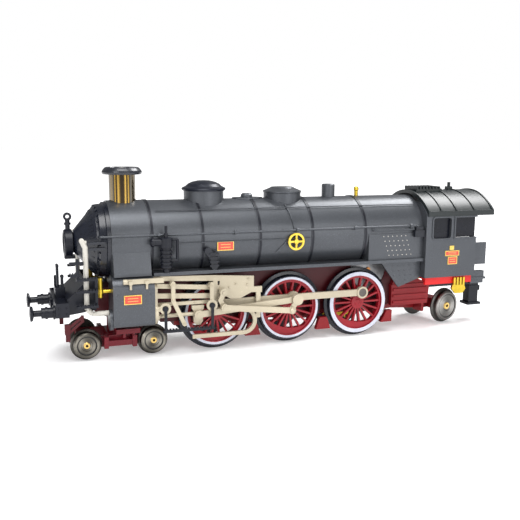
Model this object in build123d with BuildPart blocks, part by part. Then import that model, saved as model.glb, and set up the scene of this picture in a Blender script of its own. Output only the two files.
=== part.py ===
"""Scale model of a 4-6-2 express steam locomotive, an assembly of separate pieces.

Frame: +X towards the front, +Y to the locomotive's left, +Z up, millimetres.
The origin is on the ground under the middle driving axle, which is the middle of the whole length.
"""
from build123d import *
from math import atan2, cos, degrees, hypot, radians, sin, sqrt
import os

os.makedirs("parts", exist_ok=True)

# ---- driving dimensions ------------------------------------------------------------------------
half_length = 85.35          # buffer faces in front, drawbar hook behind
driver_spacing = 26.3
driver_flange_r = 12.4
driver_tread_r = 11.15
driver_rim_r = 9.5           # where the tyre sits on the wheel centre
spoke_count = 18
hub_r = 2.4
wheel_back = 7.15            # inner face of every wheel, from the middle
wheel_width = 2.8
flange_width = 0.8
axle_r = 1.2
crank_throw = 3.9
crank_pin_r = 1.0
left_crank_angle = 103.0     # degrees from straight ahead, seen from the left
quartering = -90.0           # the right-hand cranks follow the left-hand ones by a quarter turn
return_crank_reach = 4.1
return_crank_turn = 23.0     # from the inward radius of the crank pin
fit = 0.05                   # running clearance of a shaft in its hole
gap = 0.3                    # clearance between pieces that pass each other

bogie_front_x = 68.5
bogie_rear_x = 47.3
bogie_flange_r = 5.0
bogie_tread_r = 4.2
bogie_axle_r = 0.9
truck_pivot_x = -41.2
truck_arm = 25.5             # pivot to trailing axle
truck_swing = 13.0           # degrees, as the model stands
truck_flange_r = 6.7
truck_tread_r = 5.7

boiler_z = 37.0
boiler_r = 12.6
boiler_front_x = 60.4
door_length = 10.3           # from the boiler to the flat nose of the door
cab_front_x = -50.2
smokebox_rear_x = 48.5
band_places = (47.8, 31.4, 11.8, -7.1, -27.2)
band_height = 0.25
band_width = 1.1
slot_half = 5.8              # half the width of the space inside the boiler casting

board_z = 27.8               # top of the running boards
board_thickness = 1.1
board_edge_y = 14.0

cab_rear_x = -71.5
cab_half = 15.0
cab_floor_z = 20.6
cab_wall = 1.0
roof_front_x = -50.6
roof_rear_x = -78.4
eaves_y = 15.4
eaves_z = 42.8
crest_z = 51.2
roof_thickness = 1.0

cylinder_front_x = 60.9
cylinder_rear_x = 48.0
cylinder_y = 12.2
cylinder_outer_y = 16.2
cylinder_z = 13.4            # height of the piston rod
buffer_y = 10.05
buffer_z = 16.6
buffer_travel = 1.5
beam_x = 77.8                # front face of the buffer beam

frame_half = 5.2             # half the width of the chassis casting
frame_bottom = 9.6
keeper_thickness = 1.6
motor_r = 7.0
gear_module = 0.5
axle_gear_teeth = 38
pinion_teeth = 12
gear_y = -6.9                # outer face of the gears, on the right
gear_width = 1.3

# layers of the rods, from the wheel face outwards
coupling_rod_y = 10.35
coupling_rod_thickness = 1.0
crosshead_y = 11.8
main_rod_y = 13.5
rod_thickness = 0.9
return_crank_y = 14.7
return_crank_thickness = 0.6
eccentric_rod_y = 15.45

# ---- values that follow from them --------------------------------------------------------------
driver_z = driver_flange_r
driver_places = {"front": driver_spacing, "middle": 0.0, "rear": -driver_spacing}
wheel_face = wheel_back + wheel_width
bogie_z = bogie_flange_r
truck_z = truck_flange_r
crank_angles = {"left": left_crank_angle, "right": left_crank_angle + quartering}
crosshead_pin_x = 33.4
main_rod_length = hypot(
    crosshead_pin_x - crank_throw * cos(radians(left_crank_angle)),
    driver_z + crank_throw * sin(radians(left_crank_angle)) - cylinder_z,
)
motor_distance = gear_module * (axle_gear_teeth + pinion_teeth) / 2
motor_x = -driver_spacing - motor_distance * sin(radians(30))
motor_z = driver_z + motor_distance * cos(radians(30))


def crank_point(side, axle_x=0.0):
    """The centre of a crank pin, as (x, z)."""
    angle = radians(crank_angles[side])
    return axle_x + crank_throw * cos(angle), driver_z + crank_throw * sin(angle)


def return_crank_point(side):
    """The centre of the eccentric rod's ball on the return crank, as (x, z)."""
    pin_x, pin_z = crank_point(side)
    angle = radians(crank_angles[side] + 180 + return_crank_turn)
    return pin_x + return_crank_reach * cos(angle), pin_z + return_crank_reach * sin(angle)


# ---- small building steps, used inside a BuildPart ---------------------------------------------
def block(x, y, z, mode=Mode.ADD):
    """A box between two values on each axis."""
    centre = ((x[0] + x[1]) / 2, (y[0] + y[1]) / 2, (z[0] + z[1]) / 2)
    with Locations(centre):
        Box(abs(x[1] - x[0]), abs(y[1] - y[0]), abs(z[1] - z[0]), mode=mode)


def rod_x(y, z, r, x, mode=Mode.ADD):
    """A round bar along X, from x[0] to x[1]."""
    with BuildSketch(Plane.YZ.offset(x[0])) as disc:
        with Locations((y, z)):
            Circle(r)
    extrude(disc.sketch, amount=x[1] - x[0], mode=mode)


def rod_y(x, z, r, y, mode=Mode.ADD):
    """A round bar along Y, from y[0] to y[1]."""
    with BuildSketch(Plane.XZ.offset(-y[0])) as disc:
        with Locations((x, z)):
            Circle(r)
    extrude(disc.sketch, amount=-(y[1] - y[0]), mode=mode)


def rod_z(x, y, r, z, mode=Mode.ADD):
    """A round bar along Z, from z[0] to z[1]."""
    with BuildSketch(Plane.XY.offset(z[0])) as disc:
        with Locations((x, y)):
            Circle(r)
    extrude(disc.sketch, amount=z[1] - z[0], mode=mode)


def plate(outline, y, mode=Mode.ADD):
    """A flat plate with an (x, z) outline, from y[0] to y[1]."""
    with BuildSketch(Plane.XZ.offset(-y[0])) as shape:
        with BuildLine():
            Polyline(*outline, close=True)
        make_face()
    extrude(shape.sketch, amount=-(y[1] - y[0]), mode=mode)


def cross_section(outline, x, mode=Mode.ADD):
    """A bar along X with a (y, z) outline, from x[0] to x[1]."""
    with BuildSketch(Plane.YZ.offset(x[0])) as shape:
        with BuildLine():
            Polyline(*outline, close=True)
        make_face()
    extrude(shape.sketch, amount=x[1] - x[0], mode=mode)


def bar(start, end, width, y, mode=Mode.ADD):
    """A straight bar with round ends between two (x, z) points, from y[0] to y[1]."""
    length = hypot(end[0] - start[0], end[1] - start[1])
    turn = degrees(atan2(end[1] - start[1], end[0] - start[0]))
    middle = ((start[0] + end[0]) / 2, (start[1] + end[1]) / 2)
    with BuildSketch(Plane.XZ.offset(-y[0])) as shape:
        with Locations(Location((middle[0], middle[1], 0), (0, 0, turn))):
            SlotCenterToCenter(length, width)
    extrude(shape.sketch, amount=-(y[1] - y[0]), mode=mode)


def wire(points, r):
    """A round wire through points, with small bends."""
    with BuildLine() as path:
        Polyline(*points)
    with BuildSketch(Plane(origin=path.line @ 0, z_dir=path.line % 0)) as end:
        Circle(r)
    sweep(end.sketch, path=path.line, transition=Transition.ROUND)


def turned(profile, x_centre, y_centre):
    """A turned piece about a vertical axis, from (radius, z) points."""
    with BuildSketch(Plane(origin=(x_centre, y_centre, 0), x_dir=(1, 0, 0), z_dir=(0, -1, 0))) as half:
        with BuildLine():
            Polyline(*profile, close=True)
        make_face()
    revolve(half.sketch, axis=Axis((x_centre, y_centre, 0), (0, 0, 1)))


def turned_across(profile, x_centre, z_centre, side=1):
    """A turned piece about an axis along Y, from (radius, y) points."""
    with BuildSketch(Plane(origin=(x_centre, 0, z_centre), x_dir=(1, 0, 0), z_dir=(0, 0, side))) as half:
        with BuildLine():
            Polyline(*profile, close=True)
        make_face()
    revolve(half.sketch, axis=Axis((x_centre, 0, z_centre), (0, 1, 0)))


def turned_along(profile, y_centre, z_centre):
    """A turned piece about an axis along X, from (x, radius) points."""
    with BuildSketch(Plane(origin=(0, y_centre, z_centre), x_dir=(1, 0, 0), z_dir=(0, -1, 0))) as half:
        with BuildLine():
            Polyline(*profile, close=True)
        make_face()
    revolve(half.sketch, axis=Axis((0, y_centre, z_centre), (1, 0, 0)))


def save(built, name):
    """Labels a finished piece and writes its file."""
    built.part.label = name
    export_step(built.part, f"parts/{name}.step")


def layer(side, near, far):
    """The y span of something between two distances from the middle, on one side."""
    return (near, far) if side == "left" else (-far, -near)


def sign(side):
    return 1 if side == "left" else -1


# ---- driving wheels ----------------------------------------------------------------------------
def make_driver_tyres(place):
    """Steel tyres with flange and tread, one for each end of the axle."""
    axle_x = driver_places[place]
    profile = [
        (driver_rim_r, wheel_back),
        (driver_flange_r - 0.3, wheel_back),
        (driver_flange_r, wheel_back + 0.25),
        (driver_flange_r - 0.1, wheel_back + flange_width - 0.15),
        (driver_tread_r + 0.15, wheel_back + flange_width + 0.1),
        (driver_tread_r, wheel_face - 0.2),
        (driver_tread_r - 0.2, wheel_face),
        (driver_rim_r, wheel_face),
    ]
    with BuildPart() as tyres:
        for side in (1, -1):
            turned_across(profile, axle_x, driver_z, side)
    save(tyres, f"{place}_driver_tyres")


def make_driver_centres(place):
    """Spoked centres with crank boss and crescent balance weight, pressed into the tyres."""
    axle_x = driver_places[place]
    middle = (axle_x, driver_z)
    with BuildPart() as centres:
        for side in ("left", "right"):
            angle = crank_angles[side]
            pin = crank_point(side, axle_x)
            near, far = wheel_back + 0.3, wheel_face - 0.5
            with BuildSketch(Plane.XZ.offset(-layer(side, near, far)[0])):
                with Locations(middle):
                    Circle(driver_rim_r)
                    Circle(driver_rim_r - 0.7, mode=Mode.SUBTRACT)
            extrude(amount=-(far - near))
            spoke_length = driver_rim_r - 0.4 - hub_r + 0.5
            with BuildSketch(Plane.XZ.offset(-layer(side, near + 0.4, far - 0.2)[0])):
                with Locations(middle):
                    with PolarLocations(hub_r - 0.5 + spoke_length / 2, spoke_count):
                        Rectangle(spoke_length, 0.62)
            extrude(amount=-(far - near - 0.6))
            weight_r = 14.0
            weight_shift = weight_r + 2.3 - driver_rim_r
            with BuildSketch(Plane.XZ.offset(-layer(side, near + 0.2, far)[0])):
                with Locations(middle):
                    Circle(driver_rim_r - 0.3)
                away = radians(angle)
                shifted = (axle_x + weight_shift * cos(away), driver_z + weight_shift * sin(away))
                with Locations(shifted):
                    Circle(weight_r, mode=Mode.SUBTRACT)
            extrude(amount=-(far - near - 0.2))
            rod_y(*middle, hub_r, layer(side, wheel_back, wheel_face - 0.25))
            bar(middle, pin, 3.8, layer(side, near, wheel_face - 0.3))
            rod_y(*middle, axle_r, layer(side, wheel_back - 1, wheel_face + 1), Mode.SUBTRACT)
            rod_y(*pin, 0.8, layer(side, wheel_back + 0.9, wheel_face + 1), Mode.SUBTRACT)
    save(centres, f"{place}_driver_centres")


def make_driver_axle(place):
    """Plain steel axle pressed into both wheel centres, with chamfered ends."""
    axle_x = driver_places[place]
    with BuildPart() as axle:
        rod_y(axle_x, driver_z, axle_r, (-wheel_face + 0.05, wheel_face - 0.05))
        ends = axle.edges().filter_by(GeomType.CIRCLE)
        chamfer(ends, 0.2)
    save(axle, f"{place}_driver_axle")


def make_crank_screws(place):
    """Shouldered crank pin screws of the front and rear wheels, with slotted heads."""
    axle_x = driver_places[place]
    with BuildPart() as screws:
        for side in ("left", "right"):
            pin = crank_point(side, axle_x)
            seat = coupling_rod_y + coupling_rod_thickness * 0.6
            top = coupling_rod_y + coupling_rod_thickness - 0.05
            if place == "rear":
                top += 0.35
            rod_y(*pin, 0.8, layer(side, wheel_back + 0.9, wheel_face - 0.25))
            rod_y(*pin, crank_pin_r, layer(side, wheel_face - 0.3, seat + 0.05))
            rod_y(*pin, 1.45, layer(side, seat + 0.05, top))
            slot_y = layer(side, top - 0.15, top + 0.2)
            block((pin[0] - 2, pin[0] + 2), slot_y, (pin[1] - 0.15, pin[1] + 0.15), Mode.SUBTRACT)
    save(screws, f"{place}_crank_screws")


def gear_outline(centre, teeth, turn):
    """Points round a straight-flanked spur gear with backlash, as (x, z)."""
    pitch_r = gear_module * teeth / 2
    points = []
    for tooth in range(teeth):
        middle = radians(turn + 360 * tooth / teeth)
        half = radians(360 / teeth)
        steps = (
            (pitch_r - 1.15 * gear_module, -0.27),
            (pitch_r + 0.8 * gear_module, -0.10),
            (pitch_r + 0.8 * gear_module, 0.10),
            (pitch_r - 1.15 * gear_module, 0.27),
        )
        for r, share in steps:
            angle = middle + share * half
            points.append((centre[0] + r * cos(angle), centre[1] + r * sin(angle)))
    return points


def make_axle_gear():
    """Spur gear pressed on the rear driving axle, in mesh with the armature's pinion."""
    line_of_centres = degrees(atan2(motor_z - driver_z, motor_x + driver_spacing))
    centre = (-driver_spacing, driver_z)
    with BuildPart() as gear:
        plate(gear_outline(centre, axle_gear_teeth, line_of_centres), (gear_y, gear_y + gear_width))
        rod_y(*centre, axle_r, (gear_y - 1, gear_y + 3), Mode.SUBTRACT)
        with BuildSketch(Plane.XZ.offset(-gear_y + 1)):
            with Locations(centre):
                with PolarLocations(5.2, 6):
                    Circle(1.5)
        extrude(amount=-gear_width - 2, mode=Mode.SUBTRACT)
    save(gear, "axle_gear")


# ---- motor -------------------------------------------------------------------------------------
def make_motor():
    """Can motor lying across the chassis, and its armature with shaft and pinion."""
    can = (-frame_half + 0.2, frame_half - 0.2)
    with BuildPart() as housing:
        rod_y(motor_x, motor_z, motor_r, can)
        rod_y(motor_x, motor_z, motor_r - 0.8, (can[0] + 0.8, can[1] - 0.8), Mode.SUBTRACT)
        rod_y(motor_x, motor_z, 0.75 + fit, (can[0] - 1, can[1] + 1), Mode.SUBTRACT)
    save(housing, "motor_housing")
    inner = (can[0] + 1.2, can[1] - 1.2)
    with BuildPart() as armature:
        rod_y(motor_x, motor_z, 0.75, (gear_y, can[1] + 0.5))
        with BuildSketch(Plane.XZ.offset(-inner[0])):
            with Locations((motor_x, motor_z)):
                Circle(2.2)
                with PolarLocations(3.4, 3):
                    Rectangle(3.4, 1.8)
                with PolarLocations(4.8, 3):
                    Rectangle(1.2, 5.2)
        extrude(amount=-(inner[1] - inner[0]))
        line_of_centres = degrees(atan2(driver_z - motor_z, -driver_spacing - motor_x))
        half_tooth = 180 / pinion_teeth
        teeth_outline = gear_outline((motor_x, motor_z), pinion_teeth, line_of_centres + half_tooth)
        plate(teeth_outline, (gear_y, gear_y + gear_width))
    save(armature, "armature")


# ---- chassis -----------------------------------------------------------------------------------
def make_chassis():
    """Cast main frame: bearing slots for the driving axles, a bay for the motor, the bogie seat."""
    rear, front = -57.0, 66.0
    side = [
        (rear, 17.0), (rear, 10.0), (-41.0, 10.0), (-41.0, frame_bottom), (44.0, frame_bottom),
        (47.0, 13.0), (62.0, 13.0), (front, 15.4), (front, 22.4), (cylinder_rear_x - 0.5, 22.4),
        (cylinder_rear_x - 0.5, 26.0), (-20.0, 26.0), (-24.0, 30.0), (-41.5, 30.0), (-44.0, 22.0),
    ]
    with BuildPart() as chassis:
        plate(side, (-frame_half, frame_half))
        for axle_x in driver_places.values():
            slot = (axle_x - axle_r - fit, axle_x + axle_r + fit)
            rod_y(axle_x, driver_z, axle_r + fit, (-frame_half - 1, frame_half + 1), Mode.SUBTRACT)
            block(slot, (-frame_half - 1, frame_half + 1), (frame_bottom - 1, driver_z), Mode.SUBTRACT)
        bay = (-frame_half - 1, frame_half + 1)
        rod_y(motor_x, motor_z, motor_r + fit, bay, Mode.SUBTRACT)
        rod_z((bogie_front_x + bogie_rear_x) / 2, 0, 1.6, (10, 16.5), Mode.SUBTRACT)
        rod_z(truck_pivot_x, 0, 1.2, (9, 14), Mode.SUBTRACT)
    save(chassis, "chassis")


keeper_screw_places = (35.0, -9.0, -34.6)


def make_frame_screws():
    """Slotted screws: three that hold the keeper plate, and the shouldered pivots of both trucks."""
    bottom = frame_bottom - keeper_thickness
    bogie_x = (bogie_front_x + bogie_rear_x) / 2
    with BuildPart() as screws:
        for screw_x in keeper_screw_places:
            rod_z(screw_x, 0, 0.85, (bottom + 0.6, frame_bottom))
            rod_z(screw_x, 0, 1.45, (bottom + 0.05, bottom + 0.7))
            block((screw_x - 2, screw_x + 2), (-0.15, 0.15), (bottom, bottom + 0.25), Mode.SUBTRACT)
        rod_z(bogie_x, 0, 1.6, (bogie_z - 0.4, 16.5))
        rod_z(bogie_x, 0, 2.4, (bogie_z - 1.3, bogie_z - 0.45))
        block((bogie_x - 3, bogie_x + 3), (-0.25, 0.25), (bogie_z - 1.4, bogie_z - 1.0), Mode.SUBTRACT)
        rod_z(truck_pivot_x, 0, 1.2, (7.0, 14.0))
        rod_z(truck_pivot_x, 0, 2.0, (6.2, 7.15))
    save(screws, "frame_screws")


def make_keeper_plate():
    """Plate under the chassis that keeps the axles in their slots, with the brake shoes below it."""
    bottom = frame_bottom - keeper_thickness
    shoes = (
        (13.15, 6.6, [(10.4, 3.6), (15.9, 3.6), (14.6, 7.8), (11.7, 7.8)]),
        (-13.15, 6.6, [(-15.9, 3.6), (-10.4, 3.6), (-11.7, 7.8), (-14.6, 7.8)]),
        (-37.6, 5.5, [(-40.6, 4.2), (-36.2, 4.2), (-37.4, 8.4), (-40.6, 8.4)]),
    )
    with BuildPart() as keeper:
        block((-38.4, 39.5), (-4.6, 4.6), (bottom, frame_bottom))
        for axle_x in driver_places.values():
            half = axle_r - 0.1
            block((axle_x - half, axle_x + half), (-4.0, 4.0), (frame_bottom, driver_z - axle_r - fit))
        for screw_x in keeper_screw_places:
            rod_z(screw_x, 0, 0.85, (bottom - 1, frame_bottom + 1), Mode.SUBTRACT)
            rod_z(screw_x, 0, 1.5, (bottom - 1, bottom + 0.7), Mode.SUBTRACT)
        for rod_place, rod_height, outline in shoes:
            rod_y(rod_place, rod_height, 0.55, (-9.4, 9.4))
            block((rod_place - 0.6, rod_place + 0.6), (-3.0, 3.0), (rod_height - 0.2, bottom + 0.1))
            for side in ("left", "right"):
                brake = layer(side, 7.6, 9.4)
                plate(outline, brake)
                for axle_x in driver_places.values():
                    rod_y(axle_x, driver_z, driver_flange_r + gap, brake, Mode.SUBTRACT)
    save(keeper, "keeper_plate")


def make_rear_frame():
    """Ribbed rear frame and ashpan sides behind the driving wheels."""
    with BuildPart() as frame:
        for side in ("left", "right"):
            plate([(-41.6, 17.2), (-41.6, 9.4), (-57.0, 9.4), (-57.8, 17.2)], layer(side, 5.2, 7.0))
            for rib in range(3):
                low = 10.2 + 2.3 * rib
                block((-56.6, -42.2), layer(side, 6.9, 7.5), (low, low + 0.9))
            plate([(-51.0, 19.6), (-43.0, 19.6), (-42.0, 17.1), (-57.0, 17.1)], layer(side, 5.2, 6.6))
        rod_y(-driver_spacing, driver_z, driver_flange_r + gap, (-11, 11), Mode.SUBTRACT)
    save(frame, "rear_frame")


# ---- bogie and trailing truck ------------------------------------------------------------------
def small_wheel(x, z, flange_r, tread_r, bore_r, side):
    """A disc wheel with flange, tread, dished face and hub."""
    profile = [
        (bore_r, wheel_back),
        (flange_r - 0.2, wheel_back),
        (flange_r, wheel_back + 0.2),
        (flange_r - 0.1, wheel_back + flange_width - 0.1),
        (tread_r + 0.15, wheel_back + flange_width + 0.15),
        (tread_r - 0.1, wheel_face - 0.3),
        (tread_r - 0.5, wheel_face),
        (tread_r - 1.1, wheel_face),
        (tread_r - 1.25, wheel_face - 0.25),
        (bore_r + 0.9, wheel_face - 0.25),
        (bore_r + 0.8, wheel_face - 0.5),
        (bore_r + 0.25, wheel_face - 0.5),
        (bore_r, wheel_face - 0.3),
    ]
    turned_across(profile, x, z, side)


def wheelset(x, z, flange_r, tread_r, bore_r):
    """Two disc wheels and the stub axle that carries them, as separate solids."""
    with BuildPart() as wheels:
        for side in (1, -1):
            small_wheel(x, z, flange_r, tread_r, bore_r, side)
    with BuildPart() as axle:
        rod_y(x, z, bore_r, (-wheel_face + 0.1, wheel_face - 0.1))
        for side in ("left", "right"):
            rod_y(x, z, bore_r * 0.45, layer(side, wheel_face - 0.6, wheel_face), Mode.SUBTRACT)
    return Compound([*wheels.part.solids(), *axle.part.solids()])


def make_bogie():
    """Leading bogie: frame with bearing cheeks, outside bars and its two wheelsets."""
    middle_x = (bogie_front_x + bogie_rear_x) / 2
    half = (bogie_front_x - bogie_rear_x) / 2
    with BuildPart() as frame:
        block((middle_x - half - 2.2, middle_x + half + 2.2), (-6.6, 6.6), (bogie_z - 1.6, bogie_z + 2.0))
        for end in (1, -1):
            near = middle_x + end * 3.4
            far = middle_x + end * (half - 2.4)
            block((near, far), (-5.4, 5.4), (bogie_z - 2.0, bogie_z + 3.0), Mode.SUBTRACT)
        for side in ("left", "right"):
            block((middle_x - 5.0, middle_x + 5.0), layer(side, 8.4, 9.4), (bogie_z - 0.9, bogie_z + 0.9))
            for end in (1, -1):
                lug = sorted((middle_x + end * 3.8, middle_x + end * 5.2))
                block(lug, layer(side, 6.4, 9.7), (bogie_z - 1.5, bogie_z + 2.2))
            block((middle_x - 6.2, middle_x + 1.4), layer(side, 6.0, 9.9), (bogie_z + 2.9, bogie_z + 4.4))
            block((middle_x - 4.6, middle_x - 3.8), layer(side, 6.0, 9.4), (bogie_z + 1.5, bogie_z + 3.2))
            block((middle_x - 1.6, middle_x - 0.8), layer(side, 6.0, 9.4), (bogie_z + 1.5, bogie_z + 3.2))
        rod_z(middle_x, 0, 3.0, (bogie_z + 1.5, 12.7))
        rod_z(middle_x, 0, 1.6 + fit, (0, 14), Mode.SUBTRACT)
        rod_z(middle_x, 0, 2.6, (0, bogie_z - 0.4), Mode.SUBTRACT)
        for x in (bogie_front_x, bogie_rear_x):
            rod_y(x, bogie_z, bogie_axle_r + fit, (-8, 8), Mode.SUBTRACT)
    save(frame, "bogie_frame")
    for name, x in (("front", bogie_front_x), ("rear", bogie_rear_x)):
        wheels = wheelset(x, bogie_z, bogie_flange_r, bogie_tread_r, bogie_axle_r)
        wheels.label = f"bogie_{name}_wheels"
        export_step(wheels, f"parts/{wheels.label}.step")


def save_swung(shape, name):
    """Writes a trailing truck piece at the angle at which the truck stands."""
    turned_part = shape.rotate(Axis((truck_pivot_x, 0, 0), (0, 0, 1)), truck_swing)
    turned_part.label = name
    export_step(turned_part, f"parts/{name}.step")


def make_trailing_truck():
    """Single-axle truck on a long arm, pivoted behind the rear driving wheels."""
    axle_x = truck_pivot_x - truck_arm
    with BuildPart() as frame:
        arm_half = 2.2
        plate(
            [(truck_pivot_x, 8.9), (truck_pivot_x, 7.2), (truck_pivot_x - 3, 7.2), (axle_x + 5, 5.2),
             (axle_x - 2.4, 5.2), (axle_x - 2.4, 8.9)],
            (-arm_half, arm_half),
        )
        rod_z(truck_pivot_x, 0, arm_half, (7.2, 8.9))
        block((axle_x - 2.4, axle_x + 2.4), (-6.4, 6.4), (5.0, 8.9))
        for side in ("left", "right"):
            block((axle_x + 9.2, axle_x + 10.4), layer(side, 2.0, 6.4), (5.2, 8.7))
        rod_z(truck_pivot_x, 0, 1.2 + fit, (4, 12), Mode.SUBTRACT)
        rod_y(axle_x, truck_z, axle_r + fit, (-8, 8), Mode.SUBTRACT)
    save_swung(frame.part, "trailing_truck_frame")
    wheels = wheelset(axle_x, truck_z, truck_flange_r, truck_tread_r, axle_r)
    save_swung(wheels, "trailing_wheels")


# ---- rods and motion ---------------------------------------------------------------------------
def make_coupling_rod(side):
    """Side rod over all three crank pins, with a raised eye at the rear."""
    outer = coupling_rod_y + coupling_rod_thickness
    rear = crank_point(side, driver_places["rear"])
    front = crank_point(side, driver_places["front"])
    with BuildPart() as rod:
        bar(rear, front, 2.3, layer(side, coupling_rod_y, outer))
        for place, axle_x in driver_places.items():
            pin = crank_point(side, axle_x)
            raised = 0.4 if place == "rear" else 0.0
            rod_y(*pin, 2.1, layer(side, coupling_rod_y, outer + raised))
        for place, axle_x in driver_places.items():
            pin = crank_point(side, axle_x)
            rod_y(*pin, crank_pin_r + fit, layer(side, 9, 13), Mode.SUBTRACT)
            if place != "middle":
                seat = coupling_rod_y + coupling_rod_thickness * 0.6
                rod_y(*pin, 1.45 + fit, layer(side, seat, 13), Mode.SUBTRACT)
    save(rod, f"{side}_coupling_rod")


def make_main_rod(side):
    """Connecting rod from the crosshead to the middle crank pin."""
    big_end = crank_point(side)
    slope = (cylinder_z - big_end[1]) / main_rod_length
    small_end = (big_end[0] + main_rod_length * sqrt(1 - slope**2), cylinder_z)
    outer = main_rod_y + rod_thickness
    with BuildPart() as rod:
        bar(big_end, small_end, 2.0, layer(side, main_rod_y, outer))
        rod_y(*big_end, 2.0, layer(side, main_rod_y, outer))
        rod_y(*small_end, 1.4, layer(side, main_rod_y, outer))
        rod_y(*small_end, 0.8, layer(side, outer - 0.1, outer + 0.2))
        rod_y(*big_end, crank_pin_r + fit, layer(side, 13, 15), Mode.SUBTRACT)
    save(rod, f"{side}_main_rod")


def make_return_cranks():
    """Middle crank pins, each with a return crank that ends in a ball-headed pin."""
    with BuildPart() as cranks:
        for side in ("left", "right"):
            pin = crank_point(side)
            ball = return_crank_point(side)
            arm_outer = return_crank_y + return_crank_thickness
            rod_y(*pin, 0.8, layer(side, wheel_back + 0.9, wheel_face - 0.25))
            rod_y(*pin, crank_pin_r, layer(side, wheel_face - 0.3, arm_outer))
            bar(pin, ball, 1.7, layer(side, return_crank_y, arm_outer))
            rod_y(*pin, 1.9, layer(side, return_crank_y - 0.05, arm_outer + 0.05))
            rod_y(*ball, 0.6, layer(side, return_crank_y, eccentric_rod_y + rod_thickness + 0.1))
            head = eccentric_rod_y + rod_thickness + 0.05
            profile = [(0, head), (1.0, head), (0.95, head + 0.3), (0.6, head + 0.6), (0, head + 0.7)]
            turned_across(profile, *ball, sign(side))
    save(cranks, "return_cranks")


link_pivot = (25.2, 20.3)
link_drop = 4.8
eccentric_rod_length = hypot(
    link_pivot[0] - return_crank_point("left")[0],
    link_pivot[1] - link_drop - return_crank_point("left")[1],
)


def link_foot(side):
    """Where the eccentric rod meets the expansion link, as (x, z)."""
    ball = return_crank_point(side)
    across = (link_pivot[0] - ball[0], link_pivot[1] - ball[1])
    distance = hypot(*across)
    along = (distance**2 + eccentric_rod_length**2 - link_drop**2) / (2 * distance)
    height = sqrt(eccentric_rod_length**2 - along**2)
    unit = (across[0] / distance, across[1] / distance)
    return (
        ball[0] + along * unit[0] + height * unit[1],
        ball[1] + along * unit[1] - height * unit[0],
    )


def make_eccentric_rod(side):
    """Rod from the return crank to the foot of the expansion link."""
    ball = return_crank_point(side)
    foot = link_foot(side)
    span = layer(side, eccentric_rod_y, eccentric_rod_y + rod_thickness)
    with BuildPart() as rod:
        bar(ball, foot, 1.9, span)
        rod_y(*ball, 1.25, span)
        rod_y(*foot, 1.25, span)
        rod_y(*foot, 0.7, layer(side, eccentric_rod_y, eccentric_rod_y + rod_thickness + 0.15))
        rod_y(*ball, 0.6 + fit, layer(side, 14, 17), Mode.SUBTRACT)
    save(rod, f"{side}_eccentric_rod")


def make_expansion_link(side):
    """Curved link that swings on the gear bracket, with its foot ready for the eccentric rod."""
    foot = link_foot(side)
    span = layer(side, return_crank_y, return_crank_y + 0.5)
    with BuildPart() as link:
        bow = 1.2
        middle = ((link_pivot[0] + foot[0]) / 2 + bow, (link_pivot[1] + foot[1]) / 2)
        bar(link_pivot, middle, 1.5, span)
        bar(middle, foot, 1.5, span)
        rod_y(*link_pivot, 1.3, span)
        rod_y(*foot, 1.25, span)
        rod_y(*link_pivot, 0.6 + fit, layer(side, 13, 16), Mode.SUBTRACT)
    save(link, f"{side}_expansion_link")


def crosshead_x(side):
    """Where the crosshead stands for the crank's angle."""
    pin = crank_point(side)
    return pin[0] + sqrt(main_rod_length**2 - (pin[1] - cylinder_z) ** 2)


def make_crosshead(side):
    """Crosshead with its slipper under the slide bar, and the piston rod."""
    x = crosshead_x(side)
    z = cylinder_z
    span = layer(side, crosshead_y, crosshead_y + 1.3)
    with BuildPart() as crosshead:
        plate(
            [(x - 2.0, z + 2.9), (x + 2.0, z + 2.9), (x + 2.0, z + 1.8), (x + 1.4, z + 1.2),
             (x + 1.4, z - 2.6), (x + 0.6, z - 3.6), (x - 0.8, z - 3.6), (x - 1.6, z - 2.4),
             (x - 1.6, z + 1.2), (x - 2.0, z + 1.8)],
            span,
        )
        rod_x(sign(side) * cylinder_y, z, 0.65, (x + 1.0, x + 19.0))
    save(crosshead, f"{side}_crosshead")


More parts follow.
